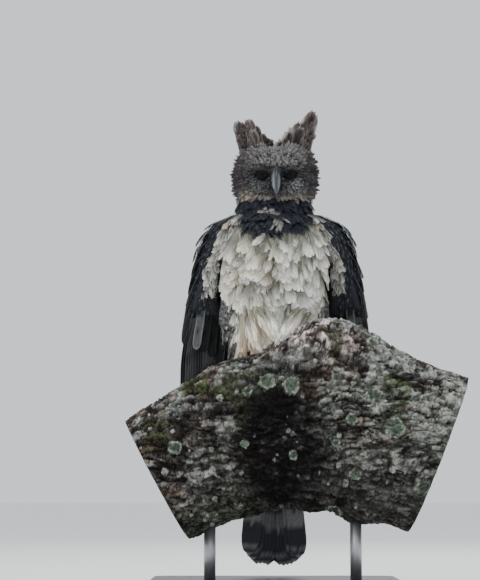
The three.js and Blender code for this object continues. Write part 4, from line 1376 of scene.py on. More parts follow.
def crest_curls(soft, side):
    """Small curly feathers round the feet of a lobe's broad ones."""
    n = 120
    foot = soft.rng.uniform(6, 68, n)
    level = soft.rng.uniform(0, 1, n) ** 1.3
    root = np.stack([HEAD[0] + side * foot * (1 + 0.12 * level), 24 - 0.12 * (foot - 40) - 6 * (1 - level),
                     mix(900, crest_ceiling(foot), level)], -1)
    away = np.stack([side * mix(0.05, 0.5, foot / 70), 0.1 + 0 * foot, 1 + 0 * foot], -1)
    tip = root + unit(away + soft.rng.normal(size=(n, 3)) * 0.16) * soft.rng.uniform(15, 26, n)[:, None]
    hue = soft.rng.uniform(0, 1, (n, 1))

    def curly(_, at_s, at_x):
        c = blend_to(paint(at_s.shape, (0.022, 0.017, 0.017)), (0.075, 0.06, 0.054), hue * np.ones_like(at_s))
        return fringe(c, at_s, at_x, (0.22, 0.195, 0.18), 0.5)

    bake = np.stack([0.56 + 0.15 * foot / 70, 0.5 + 0.05 * side + 0.03 * level], -1)
    soft.add("small", straight_paths(root, tip, crest_facing(side, len(CREST[side]) - 1)), bake, curly,
             half=soft.rng.uniform(4, 6.5, n), root=0, tip=2.5, curl=0.08, cup=0.25, fray=0.2)


def crest_whites(soft):
    """White slim feathers on the inner edge of the bird's left lobe, in the notch between the two."""
    n = 60
    share = soft.rng.uniform(0, 1, n)
    across, y = HEAD[0] + mix(-2, 44, share), 30 + soft.rng.normal(size=n) * 2
    root = np.stack([across, y, mix(916, 962, share)], -1)
    away = np.array([-0.55, 0.05, 0.83]) + soft.rng.normal(size=(n, 3)) * 0.12
    track = straight_paths(root, root + away * soft.rng.uniform(13, 21, n)[:, None], FORWARDS)
    bake = np.stack([0.56 + 0.1 * share, 0.49 + 0 * share], -1)
    soft.add("slim", track, bake, edged((0.30, 0.285, 0.27), (0.62, 0.60, 0.57), 0.8), half=3.2, root=0,
             tip=1.0, cup=0.1, fray=0.3)


def crest_coat():
    """The crest: two lobes of broad dark feathers with rounded tips, as firm vanes edged with soft barbs."""
    firm, soft = Vanes(23), Coat(25)
    for side in CREST:
        crest_lobe(firm, soft, side)
        crest_curls(soft, side)
    crest_whites(soft)
    place(firm.finish("crest_vanes", head_look, nod), "head_plumage")
    place(soft.finish("coat_crest", head_look, nod), "head_plumage")


brow_coat()
ruff_coat()
crest_coat()


# Wings

WING_TIERS = [
    # name, shape, count, root z and tip z from front to back,
    # root v and tip v from front to back, half-width, height at the tip, tilts at root and tip, root depth
    ("primary", "flight", 9, (572, 578), (258, 330),
     (0.02, 0.34), (0.06, 0.4), 14, 0.0, (0.2, 0.34), -9),
    ("secondary", "flight", 14, (584, 604), (348, 434),
     (0.38, 0.96), (0.43, 0.96), 16, 0.5, (0.17, 0.28), -9),
    ("greater", "covert", 17, (668, 690), (524, 560),
     (0.0, 0.98), (0.05, 0.97), 13, 7.0, (0.15, 0.17), -6),
    ("median", "covert", 14, (716, 728), (612, 636),
     (0.0, 0.84), (0.02, 0.86), 13, 12.5, (0.16, 0.16), -4),
    ("lesser_low", "covert", 13, (742, 752), (662, 684),
     (0.0, 0.8), (0.02, 0.82), 12, 16.0, (0.17, 0.16), -2),
    ("lesser_high", "scale", 13, (764, 772), (702, 716),
     (0.0, 0.78), (0.02, 0.8), 10.5, 18.0, (0.18, 0.16), 0),
    ("shoulder", "scale", 11, (783, 785), (738, 752),
     (0.0, 0.8), (0.02, 0.8), 10.5, 17.0, (0.15, 0.15), 2),
    ("scapular", "covert", 5, (770, 772), (590, 646),
     (0.8, 0.97), (0.84, 1.1), 16, 20.5, (0.13, 0.13), -2),
    # The pale lining under the flight feathers' roots
    ("lining", "flight", 7, (664, 630), (504, 470),
     (0.13, 0.9), (0.17, 0.9), 11, -14.0, (-0.2, -0.2), -10),
]


def lining_colour(s, x, share):
    """Grey with two dark spots, and a pale edge on the frontmost feather."""
    c = paint(s.shape, (0.10, 0.105, 0.11)) * mix(2.2, 0.3, ease(np.asarray(share), 0.02, 0.16))
    spots = bell(s, 0.75, 0.05) * bell(x, 0.2, 0.3) + bell(s, 0.55, 0.03) * bell(x, -0.3, 0.2)
    rim = np.maximum(ease(np.abs(x), 0.68, 0.98), ease(s, 0.94, 1.0))
    return layered(c, (BLACK, 0.8 * np.clip(spots, 0, 1)), ((0.50, 0.51, 0.50), (share < 0.05) * 0.75 * rim))


def flight_colour(s, x, face, side, share, tone, primary):
    """Slate with paler bars above, grey with dark bars underneath, and a pale edge."""
    bars = ease(np.sin(s * 26 + 0.8 * x + 0.4), 0.2, 0.7)
    above = blend_to(paint(s.shape, SLATE) * tone, (0.055, 0.055, 0.06), 0.5 * bars)
    below = paint(s.shape, (0.12, 0.127, 0.137)) * mix(1.6, 0.5, ease(np.asarray(share), 0.3, 1))
    below = blend_to(below, (0.02, 0.02, 0.024), 0.75 * bars * ease(s, 0.1, 0.4))
    if primary and share < 0.2:
        below = blend_to(below, (0.025, 0.027, 0.033), 0.8 * ease(-x * side, 0.1, 0.3))
    return layered(np.where((face > 0)[:, None], above, below),
                   ((0.20, 0.20, 0.20), 0.6 * ease(np.abs(x), 0.88, 0.99)),
                   ((0.32, 0.31, 0.29), 0.6 * ease(s, 0.975, 1.0)))


def covert_colour(s, x, face, tone):
    """Slate with a bluish middle and a pale edge above, grey underneath."""
    edge = np.maximum(ease(np.abs(x), 0.78, 0.98), ease(s, 0.9, 1.0))
    above = layered(paint(s.shape, SLATE) * tone, ((0.045, 0.05, 0.065), 0.6 * bell(x, 0.1, 0.5)),
                    (SLATE_EDGE, 0.5 * edge))
    return np.where((face > 0)[:, None], above, paint(s.shape, (0.15, 0.15, 0.155)))


def wing_feather_colour(tier, side, shape, share, tone):
    s, x, face, _, _ = shape
    if tier == "lining":
        return lining_colour(s, x, share)
    if tier in ("primary", "secondary"):
        return flight_colour(s, x, face, side, share, tone, tier == "primary")
    return covert_colour(s, x, face, tone)


def wing_track(side, heights, shares, depth, out):
    """A feather's middle line over the wing, between two heights and two shares across, and its normal."""
    def place_at(q):
        return wing_point(side, mix(*heights, q), mix(*shares, q), mix(depth, out, ease(q, -0.04, 0.36)))

    def normal_at(q):
        turn = wing_turn(mix(*heights, q), mix(*shares, q))
        return np.stack([side * np.cos(turn), np.sin(turn), 0 * turn], -1)

    return place_at, normal_at


def wing(name, side, seed):
    """The folded wing's firm feathers, tier over tier, with the lining inside."""
    coat = Vanes(seed)
    total = sum(tier[2] for tier in WING_TIERS)
    index = 0
    for tier, shape, count, root_z, tip_z, root_v, tip_v, half, out, tilts, depth in WING_TIERS:
        for i in range(count):
            share = i / (count - 1)
            wave = 5 * math.sin(7 * share + count)
            heights = mix(*root_z, share), mix(*tip_z, share) + wave + coat.rng.normal() * 2.5
            shares = mix(*root_v, share), mix(*tip_v, share) + coat.rng.normal() * 0.006
            slant = coat.rng.normal() * 0.02
            place_at, normal_at = wing_track(side, heights, shares, depth, out)
            tilt_at = lambda q: side * (mix(*tilts, q) + slant)
            wide = half * (1 + 0.05 * coat.rng.normal())
            points = vane_points(place_at, normal_at, tilt_at, wide, FIRM[shape])
            tint = wing_feather_colour(tier, side, FIRM[shape], share, coat.rng.uniform(0.7, 1.25))
            coat.add_vane(shape, points, tint, index, total)
            index += 1
    place(coat.finish(f"wing_feathers_{name}", vane_look), "wing_plumage", f"wing_{name}")


def sheet_solid(outer, inner, flip):
    """Points and quads of a closed body between two like grids of points."""
    rows, columns = outer.shape[:2]
    faces = grid_faces(rows, columns)
    faces = np.concatenate([faces, faces[:, ::-1] + rows * columns, rim_faces(rows, columns)[:, ::-1]])
    return np.concatenate([outer.reshape(-1, 3), inner.reshape(-1, 3)]), faces[:, ::-1] if flip else faces


def wing_flesh(name, side):
    """The wing's own limb under its feathers."""
    z = np.linspace(784, 588, 30)[:, None] * np.ones(24)
    v = np.ones(30)[:, None] * np.linspace(0, 1, 24)
    heavy = through((470, 3), (520, 8), (600, 15), (680, 20), (760, 22), (790, 12))(z)
    nose = through((0, 0.8), (0.12, 1.2), (0.3, 1), (1, 0.5))(v)
    inner = wing_point(side, z, v, -4 - heavy * nose)
    points, faces = sheet_solid(wing_point(side, z, v, -7), inner, side < 0)
    obj = build_mesh(f"wing_flesh_{name}", points, faces, skin_look, paint(points.shape[:1], SLATE))
    place(obj, "wing_plumage")


# The front of the wing: a rounded edge from the outline in to the flank, with a pale stripe down it

stripe_in = through((590, 130), (614, 134), (645, 128), (674, 121), (718, 96), (766, 68), (786, 54))
stripe_out = through((590, 136), (614, 141), (645, 145), (674, 148), (718, 124), (766, 98), (786, 80))
covert_out = through((560, 0), (600, 1), (670, 7), (720, 13), (765, 16), (786, 13))
front_bulge = through((560, 6), (614, 10), (674, 16), (718, 24), (766, 26), (790, 14))


def wing_front(side):
    """The rounded front of one wing by height and share: 0 at the outline, 1 mid-stripe, 2 at the flank."""
    def point(z, q):
        edge = np.stack([wing_edge(side, z) + covert_out(z), wing_y(z) + 5], -1)
        stripe = np.stack([(stripe_in(z) + stripe_out(z)) / 2, wing_y(z) - front_bulge(z)], -1)
        tuck = np.stack([stripe_in(z) - 18, wing_y(z) + 14], -1)
        q = np.asarray(q)[..., None]
        xy = edge * (q - 1) * (q - 2) / 2 + stripe * q * (2 - q) + tuck * q * (q - 1) / 2
        return np.stack([side * xy[..., 0], xy[..., 1], z], -1)

    return Surface(point, (1.0, 0.02), side)


def front_flesh(name, side):
    """A thin solid sheet under the feathers of the wing's front."""
    surface = wing_front(side)
    z = np.linspace(784, 606, 44)[:, None] * np.ones(20)
    q = np.ones(44)[:, None] * np.linspace(0.02, 2, 20)
    p, _, _, n = surface.frame(z, q)
    points, faces = sheet_solid(p - n * 3, p - n * 9, side > 0)
    obj = build_mesh(f"wing_front_{name}", points, faces, skin_look, paint(points.shape[:1], SLATE))
    place(obj, "wing_plumage")


def front_roots(coat, surface, levels, spacing, keep):
    """Roots on the wing's front, where keep(height, distance from the middle) allows them."""
    z, q = rows_of(coat.rng, levels, -0.12, 1.9, spacing, lambda a: 46)
    kept = keep(z, np.abs(surface.point(z, q)[:, 0]))
    return z[kept], q[kept]


def front_bake(z, q):
    """Where a root on the wing's front lies on the map."""
    return np.stack([0.1 + 0.35 * q / 2, (z - 560) / 240], -1)


def sheen_slate(root, at_s, at_x):
    """Near black with pale blue-grey side edges."""
    sides = 0.8 * ease(np.abs(at_x), 0.72, 0.96) * ease(at_s, 0.3, 0.6)
    return layered(paint(at_s.shape, (0.014, 0.015, 0.019)), ((0.24, 0.27, 0.31), sides),
                   ((0.20, 0.22, 0.25), 0.35 * ease(at_s, 0.86, 1.0)))


def front_coat(name, side, seed):
    """Slim slate feathers outside the pale stripe, and short ones inside it, near black as painted shade
    between the wing and the body.
    """
    surface, coat = wing_front(side), Coat(seed)
    z, q = front_roots(coat, surface, np.arange(616, 786, 15), 7.5, lambda z, x: x > stripe_out(z) - 3)
    n = len(z)
    lean = coat.rng.uniform(0.05, 0.26, n) * mix(0.35, 1, ease(z, 640, 740)) * (0.4 if side > 0 else 1.0)
    coat.add("slim", paths(surface, z, q, coat.rng.uniform(36, 50, n), -lean), front_bake(z, q), sheen_slate,
             half=coat.rng.uniform(4.2, 5.8, n), root=-3, tip=coat.rng.uniform(1.5, 4, n), cup=0.3, fray=0.06)
    z, q = front_roots(coat, surface, np.arange(600, 780, 11), 9, lambda z, x: x < stripe_in(z) + 2)
    # Painted shade: the short feathers between the stripe and the body are near black.
    dark = lambda root, at_s, at_x: paint(at_s.shape, (0.03, 0.03, 0.034))
    coat.add("breast", paths(surface, z, q, 30, coat.rng.normal(size=len(z)) * 0.2), front_bake(z, q), dark,
             half=8, root=-3, tip=1, fray=0.25)
    place(coat.finish(f"coat_wing_front_{name}", dark_down_look), "wing_plumage")


STRIPE_TONES = {"left": (0.47, 0.46, 0.42), "right": (0.60, 0.59, 0.54)}
STRIPE_STREAKED = {"left": 0.3, "right": 0.45}


def stripe_coat(name, side, seed):
    """The pale stripe down the wing's front, of short feathers with dark roots as painted shade between them,
    most of them streaked.
    """
    surface, coat = wing_front(side), Coat(seed)
    within = lambda z, x: (x > stripe_in(z) - 1) & (x < stripe_out(z))
    z, q = front_roots(coat, surface, np.arange(640, 786, 9), 6.6, within)
    n = len(z)
    spot = coat.rng.uniform(0, 1, n)

    def marked(root, at_s, at_x):
        streak = bell(at_x, 0, 0.38) * bell(at_s, 0.75, 0.34) * (spot > STRIPE_STREAKED[name])[:, None]
        buff = ((spot < 0.12) & (root[:, 2] > 735))[:, None] * (at_s > 0.3)
        # Painted shade: each feather dark towards its root, where the next ones lie over it.
        return layered(paint(at_s.shape, STRIPE_TONES[name]),
                       ((0.05, 0.052, 0.05), 0.9 * (1 - ease(at_s, 0.3, 0.95))),
                       ((0.42, 0.30, 0.15), 0.5 * buff),
                       (BLACK, 0.9 * streak))

    length, swing = coat.rng.uniform(24, 36, n), coat.rng.normal(size=n) * 0.2 + 0.06
    coat.add("breast", paths(surface, z, q, length, swing), front_bake(z, q), marked,
             half=coat.rng.uniform(4.4, 6.8, n), root=-2, tip=coat.rng.uniform(1, 6, n), cup=0.4, fray=0.12)
    place(coat.finish(f"coat_wing_stripe_{name}", down_look), "wing_plumage")


for seed, (name, side) in enumerate(SIDES.items()):
    wing(name, side, 60 + seed)
    wing_flesh(name, side)
    front_flesh(name, side)
    front_coat(name, side, 70 + seed)
    stripe_coat(name, side, 80 + seed)


# The tail

TAIL_COUNT = 12
TAIL_BARS = ((0.27, 0.36), (0.49, 0.585), (0.71, 0.805), (0.935, 0.955))
TAIL_ROOT = [(0, 118, 474, 30, 12), (0, 126, 440, 28, 11), (0, 132, 402, 22, 8), (0, 135, 386, 12, 5)]
TAIL_COVERTS = [
    # name, side of the tail, length, colour, material
    ("over", 1, 100, SLATE, dark_down_look),
    ("under", -1, 125, (0.45, 0.44, 0.40), down_look),
]


def tail_colour(ragged, s, x, face, tone):
    """Grey bars on black above and on slate underneath, with pale edges and tips."""
    bars = sum(ease(ragged, a, a + 0.015) * (1 - ease(ragged, b, b + 0.015)) for a, b in TAIL_BARS)
    above = blend_to(paint(s.shape, (0.016, 0.016, 0.019)), (0.14, 0.14, 0.14), bars * 0.9)
    below = blend_to(paint(s.shape, (0.032, 0.034, 0.043)), (0.21, 0.215, 0.225), bars * 0.9)
    return layered(np.where((face > 0)[:, None], above, below) * tone,
                   ((0.07, 0.075, 0.085), 0.6 * ease(np.abs(x), 0.9, 0.99)),
                   ((0.55, 0.53, 0.50), 0.8 * ease(s, 0.984, 0.997)))


def tail_vanes():
    """Twelve long feathers in two bundles, the middle ones on top."""
    coat = Vanes(80)
    s, x, face, _, _ = FIRM["flight"]
    for i in range(TAIL_COUNT):
        side = -1 if i % 2 else 1
        share = (i // 2) / 5
        layer = (5.5 - i) * 1.9
        root = np.array([side * mix(4, 18, share), 130 + layer * 0.82, 424])
        foot = 43 + 18 * share ** 2.5 + (4 if side < 0 else 0) + coat.rng.normal() * 2
        tip = np.array([side * mix(13, 54, share), 152 + layer, foot])
        place_at = lambda q: root + (tip - root) * np.asarray(q)[..., None]
        normal_at = lambda q: np.broadcast_to(BACKWARDS, (len(q), 3))
        points = vane_points(place_at, normal_at, lambda q: np.zeros_like(q), 20, FIRM["flight"], camber=0.03)
        ragged = s + 0.014 * np.abs(x) + 0.006 * np.sin(9 * x + i) + 0.008 * coat.rng.normal()
        tint = tail_colour(ragged, s, x, face, coat.rng.uniform(0.8, 1.2))
        coat.add_vane("flight", points, tint, i, TAIL_COUNT)
    place(coat.finish("tail_feathers", vane_look), "tail_plumage", "tail")


def tail_coverts():
    """Soft feathers over and under the roots of the tail."""
    for name, facing, long, colour, look in TAIL_COVERTS:
        coat = Coat(81 + facing)
        n = 44
        across, level = coat.rng.uniform(-1, 1, n), coat.rng.uniform(0, 1, n)
        root_z = 424 + (84 if facing > 0 else 30) * level
        tip_z = root_z - long * (0.85 + 0.1 * level) + 16 * across ** 2
        root = np.stack([across * 26, 128 + facing * (8 + 3 * level), root_z], -1)
        tip = np.stack([across * 42, 134 + facing * (15 + 4 * level), tip_z], -1)
        bake = np.stack([0.3 + 0.1 * facing + 0.08 * across, 0.04 + 0.1 * level], -1)
        coat.add("plume", straight_paths(root, tip, facing * BACKWARDS), bake, edged(colour, SLATE_EDGE, 0.4),
                 half=11.5, root=0, tip=0, fray=0.1, cup=0.2)
        place(coat.finish(f"coat_tail_{name}", look), "tail_plumage")


def tail():
    tail_vanes()
    tail_coverts()
    points, faces = capped(limb(TAIL_ROOT, 14, 28))
    place(build_mesh("tail_root", points, faces, skin_look, paint(points.shape[:1], SLATE)), "tail_plumage")


tail()


# Bill, eyes and lids

BILL_X = HEAD[0]
UPPER_BILL = [(BILL_X, -38, 864, 12.5, 18), (BILL_X, -60, 862, 11.4, 19), (BILL_X, -78, 855, 10.8, 20.5),
              (BILL_X, -92, 842, 8.4, 16), (BILL_X, -98.5, 828, 4.6, 8), (BILL_X, -97, 815, 0.7, 0.9)]
LOWER_BILL = [(BILL_X, -36, 845, 14, 9), (BILL_X, -58, 845, 11, 8), (BILL_X, -74, 845, 7.5, 6),
              (BILL_X, -84, 846, 3.5, 3)]


BILL_TONES = {
    "flank": (0.085, 0.095, 0.115), "painted_ridge_reflection": (0.23, 0.255, 0.29), "ridge": (0.012, 0.013, 0.016),
    "tip": (0.03, 0.032, 0.038), "cere": (0.10, 0.11, 0.125), "nostril": (0.004, 0.004, 0.005),
    "lower": (0.022, 0.024, 0.028),
}


def bill():
    """The hooked upper half with its cere, and the lower half, in horn with a dark ridge and a painted
    reflection in pale bands beside it.
    """
    roofed = lambda x, y: (x * (1 - 0.6 * ease(y, -0.8, 1.0)), y)
    points, faces = capped(limb(UPPER_BILL, 80, 56, shape=roofed))
    y, z = points[:, 1], points[:, 2]
    side = np.abs(points[:, 0] - BILL_X)
    nostril = bell(z, 867, 3.4) * bell(y, -60.5, 2.4) * (side > 4)
    points[:, 0] -= np.sign(points[:, 0] - BILL_X) * nostril * 3.5
    tone = BILL_TONES
    # Painted reflection: pale grey each side of the ridge, over dark horn on the flanks.
    tint = layered(
        paint(points.shape[:1], tone["painted_ridge_reflection"]),
        (tone["flank"], ease(side, 5.5, 9.5)),
        (tone["ridge"], np.clip(1.5 * bell(side, 0, 3.6), 0, 1) * ease(-y, 60, 70)),
        (tone["tip"], 0.9 * ease(-y, 94, 100) * ease(-z, -838, -824)),
        (tone["cere"], 0.9 * (1 - ease(-y, 61, 65))),
        (tone["nostril"], np.clip(nostril * 1.6, 0, 1)),
    )
    place(build_mesh("bill_upper_horn", nod(points), faces, horn_look, tint), "horn", "bill_upper")
    points, faces = capped(limb(LOWER_BILL, 32, 32))
    tint = paint(points.shape[:1], tone["lower"])
    place(build_mesh("bill_lower_horn", nod(points), faces, horn_look, tint), "horn", "bill_lower")


bill()


def eyeball(name, side):
    """One glossy ball with a slight bulge in front, a dark iris and a black pupil."""
    (axis, out, high), centre = eye_frame(side), eye_place(side)
    a = np.linspace(0, 2 * np.pi, 48, endpoint=False)
    around = np.outer(np.cos(a), out) + np.outer(np.sin(a), high)
    rings = []
    for tip in np.linspace(0.02, np.pi - 0.02, 48):
        r = EYE["radius"] * (1 + 0.03 * bell(tip, 0, 0.45))
        rings.append(centre + (np.cos(tip) * axis + np.sin(tip) * around) * r)
    points, faces = capped(rings)
    tip = np.arccos(np.clip((points - centre) @ axis / EYE["radius"], -1, 1))
    iris = ease(tip, 0.30, 0.34) * (1 - ease(tip, 0.55, 0.64))
    tint = blend_to(paint(points.shape[:1], (0.002, 0.002, 0.002)), (0.006, 0.004, 0.0035), iris)
    obj = build_mesh(f"eyeball_{name}", nod(points), faces if side < 0 else faces[:, ::-1], eye_look, tint)
    place(obj, "eye", f"eye_{name}")


LID = {
    "across": 10.4, "up": 7.6, "down": 7.9, "ahead": 9.2, "wrap": 2.0, "wide": 3.3, "thick": 2.4, "lean": 1.2,
}
LID_SECTORS = 16


def lids(name, side):
    """A bare folded rim round the eye, as one almond-shaped ring."""
    (axis, out, high), centre = eye_frame(side), eye_place(side)
    b = np.linspace(0, 2 * np.pi, LID_SECTORS, endpoint=False)
    ring = []
    for a in np.linspace(0, 2 * np.pi, 90):
        cos, sin = math.cos(a), math.sin(a)
        tall = LID["up"] if sin > 0 else LID["down"]
        ahead = LID["ahead"] - LID["wrap"] * abs(cos)
        spine = centre + axis * ahead + out * cos * LID["across"] + high * sin * tall
        fold = 1 + 0.1 * np.sin(3 * b + 6 * a)
        ring.append(spine + np.outer(LID["wide"] * np.cos(b) * fold, unit(cos * out + sin * high))
                    + np.outer(LID["thick"] * np.sin(b) * fold - LID["lean"] * np.cos(b), axis))
    points = np.array(ring).reshape(-1, 3)
    faces = grid_faces(len(ring), LID_SECTORS, closed=True)
    tint = paint(points.shape[:1], (0.005, 0.005, 0.006))
    place(build_mesh(f"lid_{name}", nod(points), faces, face_look, tint), "head_plumage")


def eyes():
    for name, side in SIDES.items():
        eyeball(name, side)
        lids(name, side)


eyes()


# The branch

PERCH_Y, PERCH_HALF_DEPTH, HUMP_AT = -20, 125, 0.62
BRANCH = [(-244, PERCH_Y, 226), (-125, PERCH_Y, 291), (0, PERCH_Y, 336), (115, PERCH_Y, 345),
          (229, PERCH_Y, 318), (333, PERCH_Y, 276)]
branch_up = through((0, 132), (0.2, 139), (0.4, 150), (0.6, 170), (0.8, 160), (1, 164))
branch_down = through((0, 137), (0.2, 156), (0.4, 172), (0.6, 182), (0.8, 192), (1, 166))
branch_line = catmull(BRANCH, np.linspace(0, 1, 400))
branch_steps = np.linalg.norm(np.diff(branch_line, axis=0), axis=1)
BRANCH_LENGTH = float(np.sum(branch_steps))
branch_run = np.concatenate([[0], np.cumsum(branch_steps)])
branch_run /= branch_run[-1]


def branch_at(t):
    """The middle line and its direction at a share of the branch's length."""
    t = np.clip(t, 0, 1)
    middle = np.stack([np.interp(t, branch_run, branch_line[:, k]) for k in range(3)], -1)
    tangents = unit(np.gradient(branch_line, axis=0))
    along = unit(np.stack([np.interp(t, branch_run, tangents[:, k]) for k in range(3)], -1))
    return middle, along


def bark_radius(t, turn):
    """The bark's distance from the branch's middle line, with its hump, its hollow and long low waves."""
    up, back = np.cos(turn), np.sin(turn)
    high = np.where(up > 0, branch_up(t), branch_down(t))
    square = np.where((up > 0) & (back > 0), 2.5, 2.1)
    r = (np.abs(up / high) ** square + np.abs(back / PERCH_HALF_DEPTH) ** square) ** (-1 / square)
    away = np.arctan2(back, up)
    ridge = 9 * bell(away, math.radians(-12), math.radians(28))
    hump = 46 * bell(t, HUMP_AT, 0.12) * bell(away, math.radians(-14), math.radians(28))
    hollow = -20 * bell(t, 0.44, 0.09) * bell(away, math.radians(-78), math.radians(34))
    waves = 4 * np.sin(3 * turn + 9 * t) + 3 * np.sin(5 * turn - 17 * t + 1) + 2.5 * np.sin(26 * t + 2 * turn)
    return r + ridge + hump + hollow + waves * (1 - 0.8 * bell(away, math.radians(25), math.radians(35)))


def branch_point(t, turn, grow=0.0):
    middle, along = branch_at(t)
    up = np.stack([-along[..., 2], 0 * along[..., 0], along[..., 0]], -1)
    r = (bark_radius(t, turn) + grow)[..., None]
    back = np.stack([0 * turn, np.sin(turn), 0 * turn], -1)
    return middle + up * r * np.cos(turn)[..., None] + back * r


def bark_spots(points, rng, count, low, high):
    """Places and sizes for round lichens, taken from the bark's own points."""
    flat = points.reshape(-1, 3)
    pick = rng.integers(0, len(flat), count)
    return flat[pick], low + (high - low) * rng.uniform(0, 1, count) ** 2


def rosettes(points, centres, sizes, seed):
    """How near each point is to its nearest round lichen: 0 at a middle, 1 at a lobed rim, more outside."""
    wobble = (fractal(points, 9, 3, seed) - 0.5) * 0.5
    nearest = np.full(points.shape[:-1], 9.0)
    for centre, size in zip(centres, sizes):
        nearest = np.minimum(nearest, np.linalg.norm(points - centre, axis=-1) / size)
    return nearest + wobble * (nearest < 3)


def stepped(values, steps):
    """Values drawn into flat steps with short ramps between, as bark scales lie."""
    v = values * steps
    low = np.floor(v)
    return (low + ease(v - low, 0.55, 1.0)) / steps


def bark_fields(smooth):
    """The noises that both raise and colour the bark, over its plain outline."""
    x, z = smooth[..., 0], smooth[..., 2]
    bent = smooth + 22 * (np.stack([fractal(smooth, 70, 2, seed) for seed in (91, 92, 93)], -1) - 0.5)
    grain = bent * np.array([0.32, 1, 1])
    return SimpleNamespace(
        tone=fractal(grain, 34, 3, 114),
        plates=stepped(fractal(grain, 15, 4, 101), 9),
        splits=1 - ease(veins(grain, 17, 4, 102), 0.0, 0.2),
        hairs=1 - ease(veins(bent * np.array([1, 0.6, 0.6]), 9, 3, 105), 0.0, 0.14),
        folds=veins(bent * np.array([0.6, 1, 1.25]), 36, 4, 106),
        lumps=fractal(smooth, 55, 3, 103) - 0.5,
        fine=fractal(smooth, 6, 3, 104) - 0.5,
        knots=np.clip(bell(x, 75, 105) * ease(z, 400, 500) + 0.5 * bell(x, 20, 60), 0, 1),
    )


def bark_relief(f, x, turn):
    """How far the bark stands out: rough with plates, cracked, knotted under the bird, flat at its seat."""
    grow = (f.lumps * mix(6, 16, f.knots) + (f.plates - 0.5) * mix(8, 15, f.knots) + f.fine * 3 - 5 * f.splits
            - 2.5 * f.hairs - 11 * f.knots * (1 - ease(f.folds, 0.0, 0.25)))
    grow = grow + 6 * bell(x, -75, 60) * bell(np.angle(np.exp(1j * turn)), -0.42, 0.22)
    seat = bell(x, 0, 95) * ease(np.cos(turn - 0.5), 0.5, 0.9)
    return grow * (1 - 0.75 * seat) - 1.5 * seat


# The large round lichens on the front: across, height, radius
LICHENS = [(-19, 426, 17), (31, 420, 18), (-60, 405, 11), (158, 235, 12), (238, 330, 20), (196, 395, 15),
           (118, 300, 9), (-205, 290, 14)]


def lichen_fields(points, smooth):
    """How near each point lies to a large and to a small round lichen."""
    rng = np.random.default_rng(90)
    x, y, z = smooth[..., 0], smooth[..., 1], smooth[..., 2]
    chosen = []
    for across, high, _ in LICHENS:
        away = np.where(y < PERCH_Y, (x - across) ** 2 + (z - high) ** 2, 1e9)
        chosen.append(points.reshape(-1, 3)[np.argmin(away)])
    more, more_sizes = bark_spots(points, rng, 18, 9, 20)
    clear = (more[:, 0] < 15) | (more[:, 0] > 125) | (more[:, 2] < 440)
    sizes = np.concatenate([[size for _, _, size in LICHENS], more_sizes[clear]])
    big = rosettes(points, np.concatenate([chosen, more[clear]]), sizes, 120)
    small = rosettes(points, *bark_spots(points, rng, 170, 2.5, 8), 121)
    return big, small


def growth_fields(points, smooth, turn, f):
    """Where crust and moss grow, and the painted shadow that the bird casts on the front of the bark below
    its feet.
    """
    x, y, z = smooth[..., 0], smooth[..., 1], smooth[..., 2]
    up = ease(np.cos(turn), -0.2, 0.6)
    crumbs = fractal(points * np.array([0.6, 1, 1]), 8, 4, 112)
    spread = mix(0.55, 0.47, ease(x, -120, 80))
    crust = ease(fractal(points, 52, 3, 111), spread, spread + 0.015) * ease(crumbs, 0.38, 0.43)
    crust = crust * mix(0.5, 1.0, up)
    # Painted shadow: the bird's shade on the front of the branch below it, with almost no crust in it.
    stain_and_painted_shadow = 1.9 * bell(x, 5, 76) * bell(z, 290, 135) * ease(-y, 20, 80) * mix(0.75, 1.15, f.tone)
    stain_and_painted_shadow = np.clip(stain_and_painted_shadow, 0, 1)
    moss = fractal(points, 60, 3, 113) - 0.1 * f.knots + 0.16 * bell(x, -285, 50) * bell(z, 235, 60)
    return SimpleNamespace(crumbs=crumbs, crust=crust * (1 - 0.95 * stain_and_painted_shadow), stain_and_painted_shadow=stain_and_painted_shadow,
                           moss=ease(moss, 0.54, 0.64) * up * ease(crumbs, 0.35, 0.5))


BARK_TONES = {
    "deep": (0.038, 0.034, 0.031), "plate": (0.17, 0.16, 0.15), "brown": (0.12, 0.085, 0.065),
    "bare": (0.62, 0.54, 0.52), "crust": (0.27, 0.29, 0.265), "right": (0.16, 0.17, 0.15),
    "under_left": (0.085, 0.095, 0.075), "shaded_underside_right": (0.035, 0.034, 0.034), "moss": (0.035, 0.045, 0.014),
    "stain_and_painted_shadow": (0.005, 0.005, 0.006), "crack_and_painted_shade": (0.006, 0.005, 0.005), "speck": (0.31, 0.33, 0.30),
    "lichen": (0.075, 0.095, 0.072), "lichen_rim": (0.25, 0.285, 0.24),
}


